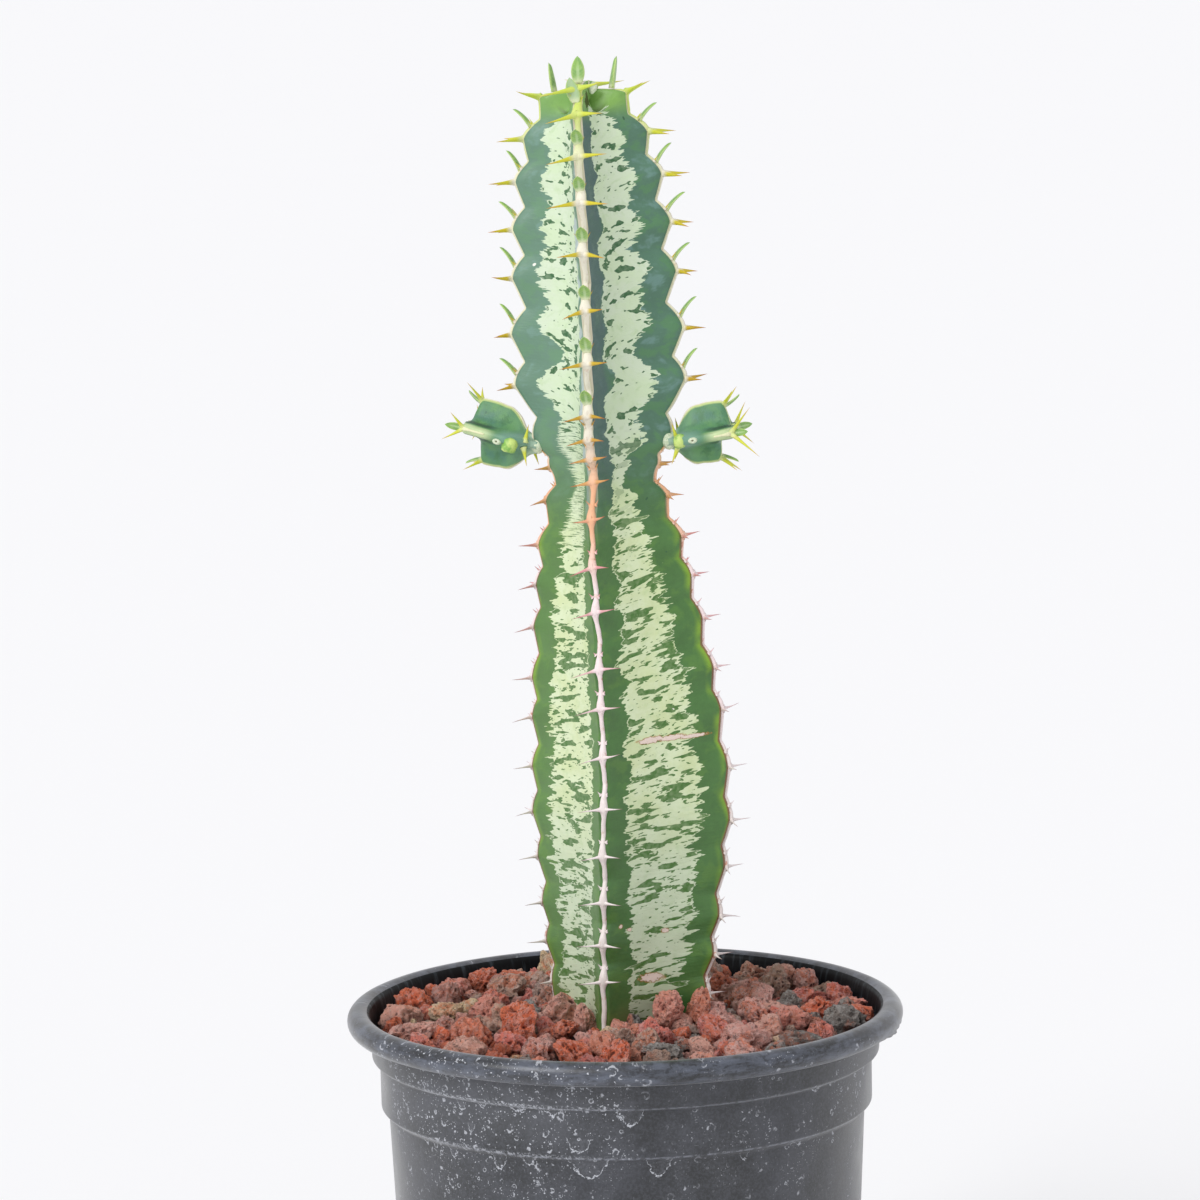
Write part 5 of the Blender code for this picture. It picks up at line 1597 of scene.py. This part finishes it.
def stone_form(random, size):
    """Half axes, turn and twelve bumps of a stone, drawn in that order."""
    axes = np.array([random.uniform(*limits) for limits in STONE_SHAPE]) * size / 2
    turn = random.normal(size=4)
    return axes, turn / np.linalg.norm(turn), random.uniform(-1, 1, 12)


def stone_places():
    """Centres, sizes and turns of the gravel stones: seeded throws that keep their distance, some
    of them against the pot's wall."""
    random = np.random.default_rng(STONE_SEED)
    stones = []
    for _ in range(STONE_TRIES):
        size = random.uniform(*STONE_SIZE)
        outermost = GRAVEL_RADIUS - STONE_WALL_ROOM * size
        radius = math.sqrt(random.uniform(STONE_INNER**2, outermost**2))
        if random.uniform() < STONE_WALL_SHARE:
            radius = outermost
        angle = random.uniform(0, 2 * math.pi)
        form = stone_form(random, size)
        height = gravel_height(radius) + random.uniform(-STONE_STAGGER, STONE_STAGGER)
        centre = around(radius, angle, height)
        clear = all(
            np.hypot(*(centre - other)[:2]) > STONE_PACKING * (size + width) / 2
            for other, width, *_ in stones
        )
        if clear:
            stones.append((centre, size, *form))
    return stones


def chip_places(stones):
    """Small stones in the gaps: seeded throws that may lean on their neighbours but not on the stem."""
    random = np.random.default_rng(CHIP_SEED)
    taken = [(centre, size) for centre, size, *_ in stones]
    chips = []
    for _ in range(CHIP_TRIES):
        size = random.uniform(*CHIP_SIZE)
        radius = math.sqrt(random.uniform(STONE_INNER**2, (GRAVEL_RADIUS - 0.45 * size) ** 2))
        angle = random.uniform(0, 2 * math.pi)
        height = gravel_height(radius) + random.uniform(-2.6, 0.6)
        centre = around(radius, angle, height)
        form = stone_form(random, size)
        gaps = [np.linalg.norm(centre - other) - 0.39 * (size + width) for other, width in taken]
        if min(gaps) > 0:
            taken.append((centre, size))
            chips.append((centre, size, *form))
    return chips


def quaternion_matrix(turn):
    w, x, y, z = turn
    return np.array([
        [1 - 2 * (y * y + z * z), 2 * (x * y - w * z), 2 * (x * z + w * y)],
        [2 * (x * y + w * z), 1 - 2 * (x * x + z * z), 2 * (y * z - w * x)],
        [2 * (x * z - w * y), 2 * (y * z + w * x), 1 - 2 * (x * x + y * y)],
    ])


def stone_points(directions, corners, axes, turn, bumps, jagged, number):
    """Points of one stone: the block that random planes cut, with corners eased by a high power
    mean, swollen by the twelve bumps, each weighted by its nearness, then roughened by lumps, by
    ridges where a noise crosses 0 and by round cavities, stretched along the stone's axes and
    turned. The second result is how far a point stands out of its surroundings."""
    random = np.random.default_rng(900 + number)
    planes = unit(random.normal(size=(STONE_PLANES, 3)))
    offsets = random.uniform(*STONE_OFFSETS, STONE_PLANES)
    reach = np.maximum(directions @ planes.T, 1e-3) / offsets
    block = (reach**STONE_SHARPNESS).sum(axis=1) ** (-1 / STONE_SHARPNESS)
    block = np.clip(block, 0.6, 1.15)
    weight = np.exp(5 * (directions @ corners.T - 1))
    swell = weight @ bumps / weight.sum(axis=1)
    shift = np.array([number * 7.3, number * 3.1, 0.0])
    lumps = rough(directions * 1.7 + shift, 2, seed=41)
    crags = 1 - 2 * np.abs(rough(directions * 3.2 + shift, 2, seed=57))
    grit = lattice_noise(directions * 6.5 + shift, seed=77)
    relief = 0.55 * lumps + 0.6 * crags + 0.34 * grit
    hollows = unit(random.normal(size=(STONE_HOLLOWS, 3)))
    spans = random.uniform(*HOLLOW_SPANS, STONE_HOLLOWS)
    away = np.arccos(np.clip(directions @ hollows.T, -1, 1)) / spans
    sunk = (0.75 * spans * np.clip(1 - away**2, 0, 1)).max(axis=1)
    radius = block * (1 + STONE_ROUGHNESS * swell) + jagged * relief - sunk
    points = (radius[:, None] * directions * axes) @ quaternion_matrix(turn).T
    return points, crags + 0.6 * grit - 9 * sunk


def bed_surface():
    """Ring of grit between the stones: a closed loop of radius and height turned about Z, its upper
    side roughened by noise."""
    inner = STONE_INNER + 1.0
    outer = GRAVEL_RADIUS - 0.8
    part = np.linspace(0, 1, 60)
    top = np.stack([inner + (outer - inner) * part, GRAVEL_AT_STEM - 3.4 - 1.0 * part], -1)
    low = np.array([(outer, BED_SHOULDER), (outer - 1.8, BED_FOOT), (inner, BED_FOOT)])
    loop = np.concatenate([top, low, top[:1]])
    angle = np.radians(np.linspace(0, 360, 241))
    radius = np.broadcast_to(loop[:, :1], (len(loop), len(angle)))
    height = np.broadcast_to(loop[:, 1:], radius.shape)
    place = np.stack([radius * np.cos(angle), radius * np.sin(angle), height], -1)
    raised = (height > BED_SHOULDER) * step(part_of_ring(radius, inner, outer), 0.0, 0.06)
    place[..., 2] += 0.9 * raised * rough(place / 2.4, 3, seed=70)
    surface = Surface()
    surface.add(place)
    return surface


def part_of_ring(radius, inner, outer):
    """Nearness to the ring's own rims: 0 on them, and rising inwards."""
    return np.minimum(radius - inner, outer - radius) / (outer - inner)


class EUPHORBIA_OT_pot(bpy.types.Operator):
    """Turn the nursery pot, with its rolled lip, drain holes and dried lime"""

    bl_idname = "euphorbia.pot"
    bl_label = "Nursery Pot"

    def execute(self, context):
        settings = context.scene.euphorbia_pot
        pot = pot_surface(settings).finish("nursery_pot", pot_material(settings), "pot_plastic", "pot")
        cut_drains(pot)
        part_inside(pot)
        return {"FINISHED"}


class EUPHORBIA_OT_gravel(bpy.types.Operator):
    """Heap the lava stones, the chips between them and their bed, and finish the potting mix"""

    bl_idname = "euphorbia.gravel"
    bl_label = "Lava Gravel"

    def execute(self, context):
        settings = context.scene.euphorbia_gravel
        stones = stone_places()
        chips = chip_places(stones)
        corners = icosahedron_corners()
        surfaces = {kind: Surface() for kind in LAVA_KINDS}
        random = np.random.default_rng(3)
        number = 0
        upright = [
            (np.array(centre), kind, np.array(axes), (0.99, 0.1, 0.08, 0.0), random.uniform(-1, 1, 12))
            for centre, axes, kind in UPRIGHT_STONES
        ]
        for places, cells in ((stones, STONE_CELLS), (chips, CHIP_CELLS), (upright, STONE_CELLS)):
            directions, faces = cube_sphere(cells)
            for centre, kind, axes, turn, bumps in places:
                if places is not upright:
                    kind = LAVA_KINDS[random.choice(len(LAVA_KINDS), p=LAVA_SHARES)]
                points, proud = stone_points(
                    directions, corners, axes, turn, bumps, settings.jaggedness, number
                )
                surfaces[kind].add(centre + points, faces, stone=random.uniform(), proud=proud)
                number += 1
        for kind, surface in surfaces.items():
            material = lava_material(kind, tuple(getattr(settings, kind)))
            piece = surface.finish(f"lava_{kind}", material, "lava", "lava_gravel")
            piece.data.set_sharp_from_angle(angle=math.radians(STONE_CREASE))
        bed = grit_material("lava_grit", tuple(settings.bed), srgb(110, 72, 60), 1.1)
        bed_surface().finish("gravel_bed", bed, "lava", "lava_gravel")
        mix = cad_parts["potting_mix"]
        mix.data.materials.clear()
        mix.data.materials.append(grit_material("potting_grit", srgb(48, 36, 28), srgb(92, 72, 56), 1.6))
        return {"FINISHED"}


class EUPHORBIA_OT_stem(bpy.types.Operator):
    """Loft the four-ribbed stem and paint its variegation"""

    bl_idname = "euphorbia.stem"
    bl_label = "Stem"

    def execute(self, context):
        settings = context.scene.euphorbia_skin
        buried = np.arange(STEM_FOOT, SHOWING_FROM, BURIED_STEP)
        showing = np.arange(SHOWING_FROM, SIDE_END - END_ROUNDING - 0.2, ROW_STEP)
        rows = np.unique(np.concatenate([buried, showing, end_rows((SIDE_END, FACE_END))]))
        surface = skin_surface(stem_column(), rows, FACE_CELLS, APEX_HOLLOW)
        surface.finish("stem_skin", skin_material(settings), "stem_skin", "stem")
        return {"FINISHED"}


class EUPHORBIA_OT_margins(bpy.types.Operator):
    """Run the horny margins up the four ribs, with their spines, prickles and leaves"""

    bl_idname = "euphorbia.margins"
    bl_label = "Rib Margins"

    def execute(self, context):
        horn = context.scene.euphorbia_horn
        leaf = context.scene.euphorbia_leaf
        column = stem_column()
        horn_finish = horn_material(horn)
        leaf_finish = leaf_material(leaf)
        sizes = (horn.width / MM, horn.shield / MM, horn.height / MM)
        for rib, name in enumerate(RIB_NAMES):
            rng = np.random.default_rng(60 + rib)
            surface = Surface()
            leaves = Surface()
            last = column.ends[rib] - 0.25
            rows = np.arange(MARGIN_FOOT, last, MARGIN_STEP)
            add_margin(surface, column, rib, np.append(rows, last), sizes)
            for node in column.nodes[rib]:
                if rib in SHOOT_RISE and node == SHOOT_NODE:
                    continue
                spread = math.radians(level(SPINE_SPREAD, node))
                steepness = 0.2 if rib in (FRONT, BACK) else 1.0
                rise = math.radians(level(SPINE_RISE, node) * steepness)
                size = level(SPINE_LENGTH, node)
                if rib in (LEFT, RIGHT):
                    size = size * level(SIDE_SPINES, node)
                lift = level(PRICKLE_LIFT, node)
                prick = level(PRICKLE_LENGTH, node)
                spine_pair(surface, column, rib, node, rng, (spread, rise, size, lift, prick))
                top = node == column.nodes[rib][-1]
                if node > LEAVES_ABOVE and not (top and rib == BACK):
                    rib_leaf(leaves, column, rib, node, rng, leaf, top)
            surface.finish(f"margin_{name}", horn_finish, "horn", f"rib_margin_{name}")
            leaves.finish(f"leaves_{name}", leaf_finish, "horn", f"rib_margin_{name}")
        return {"FINISHED"}


def rib_leaf(leaves, column, rib, node, rng, settings, top):
    """One small leaf above a node, steep at its root and curling outwards."""
    young = rib == FRONT and node == column.nodes[rib][-2]
    lift = column.ends[rib] - 0.4 - node if top else LEAF_LIFT
    point, out, side = column.edge_place(rib, node + lift)
    egg = rib in (FRONT, BACK) and not (top or young)
    rise = math.radians(86.0 if top or young else 62.0 if egg else 68.0 + rng.uniform(-8, 8))
    heading, outward = leaning(rise, out, column.e3)
    size = (settings.top_size if top or young else settings.size) / MM * rng.uniform(0.95, 1.06)
    size = size * (0.87 if top and rib == FRONT else 1.0)
    width = settings.width / MM * (1.35 if top or young else 1.22 if egg else 1.0)
    thick = 1.5 if top else 1.1
    root = point + (0.2 * column.e3 if top else 0.5 * out)
    if young:
        heading = unit(heading + (-0.2, 0.0, 0.0))
        root = root + (-0.5, 0.0, 0.0)
        size = 0.84 * size
    curl = 8.0 if top or young else 46.0 if egg else 38.0
    greyed = 0.8 if young else 0.0
    add_leaf(leaves, root, heading, outward, side, size, width, thick, curl, 0.16, greyed)


class EUPHORBIA_OT_shoots(bpy.types.Operator):
    """Grow the two side shoots with their margins, spines, leaves, buds and scars"""

    bl_idname = "euphorbia.shoots"
    bl_label = "Side Shoots"

    def execute(self, context):
        scene = context.scene
        stem = stem_column()
        skin = shoot_material(scene.euphorbia_shoot)
        bud = bud_material(scene.euphorbia_shoot)
        horn = bpy.data.materials["margin_horn"]
        blade = bpy.data.materials["leaf_blade"]
        scar = scar_material()
        for rib in SHOOT_RISE:
            name = f"shoot_{RIB_NAMES[rib]}"
            column = shoot_column(stem, rib)
            rng = np.random.default_rng(80 + rib)
            finish = max(column.ends.values())
            rows = np.arange(SHOOT_FOOT, finish - END_ROUNDING, 0.35)
            rows = np.unique(np.concatenate([rows, end_rows(column.ends.values())]))
            skin_surface(column, rows, 18).finish(f"{name}_skin", skin, "shoot_skin", name)
            horns = Surface()
            leaves = Surface()
            for own_rib in range(4):
                last = column.ends[own_rib] - 0.2
                ridge = own_rib in (FRONT, BACK)
                own_rows = np.append(np.arange(11.5 if ridge else 2.5, last, 0.4), last)
                tone = 216.0 if ridge else SHOOT_COLOUR_HEIGHT
                add_margin(horns, column, own_rib, own_rows, (0.62 if ridge else 0.8, 1.2, 0.25), tone)
                shoot_spines(horns, leaves, column, own_rib, rng, SHOOT_SPINE_SHARE[rib])
            horns.finish(f"{name}_horn", horn, "shoot_skin", name)
            leaves.finish(f"{name}_leaves", blade, "shoot_skin", name)
            self.bud_and_scar(column, rib, name, bud, scar)
        return {"FINISHED"}

    def bud_and_scar(self, column, rib, name, bud, scar):
        """A lumpy lime bud and a small disc scar on the front rib near the shoot's foot."""
        point, out, side = column.edge_place(FRONT, SHOOT_BUD[rib])
        lump = Surface()
        share, drop = SHOOT_BUD_SHARE[rib]
        axes = share * np.array((2.1 * side, 2.2 * column.e3, 1.7 * out))
        down = -side * np.sign(side[2])
        add_blob(lump, point - 0.1 * out + drop * (down - 0.3 * out), axes, 0.2, 5 + rib)
        lump.finish(f"{name}_bud", bud, "shoot_skin", name)
        collar = Surface()
        axes = (2.3 * side, 1.9 * column.e3, 2.3 * out)
        add_blob(collar, column.axis_point(-0.3)[0], axes, 0.2, 21 + rib, ring=1.0)
        collar.finish(f"{name}_collar", scar, "shoot_skin", name)
        point, out, side = column.edge_place(FRONT, SHOOT_SCAR[rib])
        part = np.linspace(0, 1, 8)[:, None]
        angle = np.radians(np.linspace(0, 360, 25))
        dome = 0.55 * np.sqrt(np.clip(1 - part**2, 0, 1)) - 0.5 * np.exp(-((part / 0.3) ** 2))
        flat = 1.15 * part * np.cos(angle)
        tall = 0.75 * part * np.sin(angle)
        disc = flat[..., None] * column.e3 + tall[..., None] * side
        disc = disc + (np.broadcast_to(dome, flat.shape))[..., None] * out
        point = point + drop * (0.8 * down - 0.3 * out)
        under = np.stack([disc[-1], disc[-1] - 0.8 * out, 0 * disc[-1] - 0.8 * out])
        surface = Surface()
        surface.add(point + 0.25 * out + disc, ring=np.repeat(part, 25, axis=1))
        surface.add(point + 0.25 * out + under, ring=1.0)
        surface.finish(f"{name}_scar", scar, "shoot_skin", name)


def shoot_spines(horns, leaves, column, own_rib, rng, longer):
    """Spine pair and leaf at the outer end of a shoot's rib, and a pair at its foot in front."""
    node = column.nodes[own_rib][-1]
    edge, out, side = column.edge_place(own_rib, node)
    for hand in (-1, 1):
        heading = 0.5 * out + 0.55 * column.e3 + 0.67 * hand * side + 0.1 * rng.normal(size=3)
        size = longer * SHOOT_SPINE_LENGTH * rng.uniform(0.85, 1.1)
        bend = 0.5 * rng.normal(size=3)
        root = edge - 0.5 * out
        add_spine(horns, root, heading, column.e3, size, 0.62, 0.35, bend, SHOOT_SPINE_HEIGHT)
        if own_rib in (FRONT, BACK):
            foot, foot_out, foot_side = column.edge_place(own_rib, SHOOT_BASE_SPINE_HEIGHT)
            low = hand * foot_side[2] < 0
            heading = 0.3 * foot_out + hand * foot_side + (-0.55 if low else -0.1) * column.e3
            start = foot - 0.4 * foot_out + (1.2 if low else 0.3) * hand * foot_side
            add_spine(
                horns, start, heading, column.e3, SHOOT_BASE_SPINE_LENGTH, 0.66, 0.35,
                0 * bend, SHOOT_SPINE_HEIGHT,
            )
    heading = unit(0.3 * out + column.e3)
    outward = unit(out - 0.3 * column.e3)
    add_leaf(
        leaves, edge - 0.6 * out + 0.4 * column.e3, heading, outward, side, SHOOT_LEAF_LENGTH, 1.9,
        0.9, 24.0, 0.15,
    )


class EUPHORBIA_OT_tip(bpy.types.Operator):
    """Set the youngest leaves and the flower bud into the growing tip"""

    bl_idname = "euphorbia.tip"
    bl_label = "Growing Tip"

    def execute(self, context):
        scene = context.scene
        leaf = scene.euphorbia_leaf
        column = stem_column()
        blade = bpy.data.materials["leaf_blade"]
        centre = column.axis_point(FACE_END)[0]
        leaves = Surface()
        random = np.random.default_rng(17)
        for turn in np.radians((60, 150, 215, 330)):
            out = around(1.0, turn, 0.0)
            side = np.array([-math.sin(turn), math.cos(turn), 0.0])
            up = np.array([0.0, 0.0, 1.0])
            rise = math.radians(random.uniform(58, 76))
            heading, outward = leaning(rise, out, up)
            root = centre + random.uniform(1.6, 3.0) * out + (0, 0, random.uniform(-3.2, -2.2))
            size = random.uniform(1.9, 2.7)
            add_leaf(leaves, root, heading, outward, side, size, 0.7 * leaf.width / MM, 0.9, 30.0, 0.3)
        leaves.finish("tip_leaves", blade, "stem_skin")
        bud = Surface()
        for number, turn in enumerate(np.radians((20, 140, 260))):
            place = centre + around(2.4, turn, -2.9)
            axes = ((1.0, 0, 0), (0, 1.0, 0), (0.2, 0, 1.7))
            add_blob(bud, place, axes, 0.25, 12 + number)
        bud.finish("tip_buds", bpy.data.materials["lime_bud"], "stem_skin")
        husk = Surface()
        axes = ((1.0, 0, 0), (0, 0.9, 0), (0.3, 0, 1.6))
        add_blob(husk, centre + TIP_HUSK, axes, 0.25, 31, ring=1.0)
        husk.finish("tip_husk", bpy.data.materials["pale_scar"], "stem_skin")
        return {"FINISHED"}


class EUPHORBIA_OT_stage(bpy.types.Operator):
    """Lay the pale floor and set the soft lights, the surroundings and the camera"""

    bl_idname = "euphorbia.stage"
    bl_label = "Stage"

    def execute(self, context):
        settings = context.scene.euphorbia_stage
        scene = context.scene
        nodes = material_of("pale_floor")
        drift = nodes.out("ShaderNodeTexCoord", output="Object").noise(3.0, 2.0)
        body = (drift * 0.1).mix(settings.floor, shaded(settings.floor, 0.97))
        made = nodes.finish(body, ORIGIN, 0.9, {"Specular IOR Level": 0.1})
        mesh = bpy.data.meshes.new("floor")
        angle = np.radians(np.linspace(0, 360, 65))[:-1]
        rim = 60.0 * np.stack([np.cos(angle), np.sin(angle), 0 * angle], -1)
        mesh.from_pydata(rim.tolist(), [], [tuple(range(64))])
        mesh.materials.append(made)
        linked("floor", mesh)
        world = bpy.data.worlds.new("studio")
        world.use_nodes = True
        sky = world.node_tree.nodes["Background"]
        sky.inputs["Color"].default_value = (*settings.sky, 1)
        sky.inputs["Strength"].default_value = settings.sky_strength
        scene.world = world
        lamp = bpy.data.lights.new("key", "SUN")
        lamp.energy = settings.key_strength
        lamp.angle = settings.key_spread
        light = linked("key", lamp)
        light.rotation_euler = settings.key_from.to_track_quat("Z", "Y").to_euler()
        scene.view_settings.view_transform = "Standard"
        lens = bpy.data.cameras.new("photo_view")
        lens.lens = settings.lens
        lens.clip_start = 0.05
        lens.clip_end = 150.0
        camera = linked("photo_view", lens)
        camera.location = settings.place
        turn = Matrix.Rotation(math.pi / 2 - settings.pitch, 3, "X")
        camera.rotation_euler = (turn @ Matrix.Rotation(-settings.roll, 3, "Z")).to_euler()
        scene.camera = camera
        return {"FINISHED"}


OPERATORS = (
    EUPHORBIA_OT_pot, EUPHORBIA_OT_gravel, EUPHORBIA_OT_stem, EUPHORBIA_OT_margins,
    EUPHORBIA_OT_shoots, EUPHORBIA_OT_tip, EUPHORBIA_OT_stage,
)
SETTINGS = {
    "euphorbia_pot": PotSettings,
    "euphorbia_gravel": GravelSettings,
    "euphorbia_skin": SkinSettings,
    "euphorbia_horn": HornSettings,
    "euphorbia_leaf": LeafSettings,
    "euphorbia_shoot": ShootSettings,
    "euphorbia_stage": StageSettings,
}


class EUPHORBIA_PT_panel(bpy.types.Panel):
    """Lists the plant's operators with their sizes and colours"""

    bl_idname = "EUPHORBIA_PT_panel"
    bl_label = "Potted Euphorbia"
    bl_space_type = "VIEW_3D"
    bl_region_type = "UI"
    bl_category = "Euphorbia"

    def draw(self, context):
        for operator in OPERATORS:
            self.layout.operator(operator.bl_idname)
        for label, group in SETTINGS.items():
            box = self.layout.box()
            settings = getattr(context.scene, label)
            for name in group.__annotations__:
                box.prop(settings, name)


def register():
    for group in SETTINGS.values():
        bpy.utils.register_class(group)
    for label, group in SETTINGS.items():
        setattr(bpy.types.Scene, label, bpy.props.PointerProperty(type=group))
    for operator in OPERATORS:
        bpy.utils.register_class(operator)
    bpy.utils.register_class(EUPHORBIA_PT_panel)


def unregister():
    bpy.utils.unregister_class(EUPHORBIA_PT_panel)
    for operator in reversed(OPERATORS):
        bpy.utils.unregister_class(operator)
    for label in SETTINGS:
        delattr(bpy.types.Scene, label)
    for group in SETTINGS.values():
        bpy.utils.unregister_class(group)


def main():
    register()
    for operator in OPERATORS:
        space, name = operator.bl_idname.split(".")
        getattr(getattr(bpy.ops, space), name)()


if __name__ == "__main__":
    main()
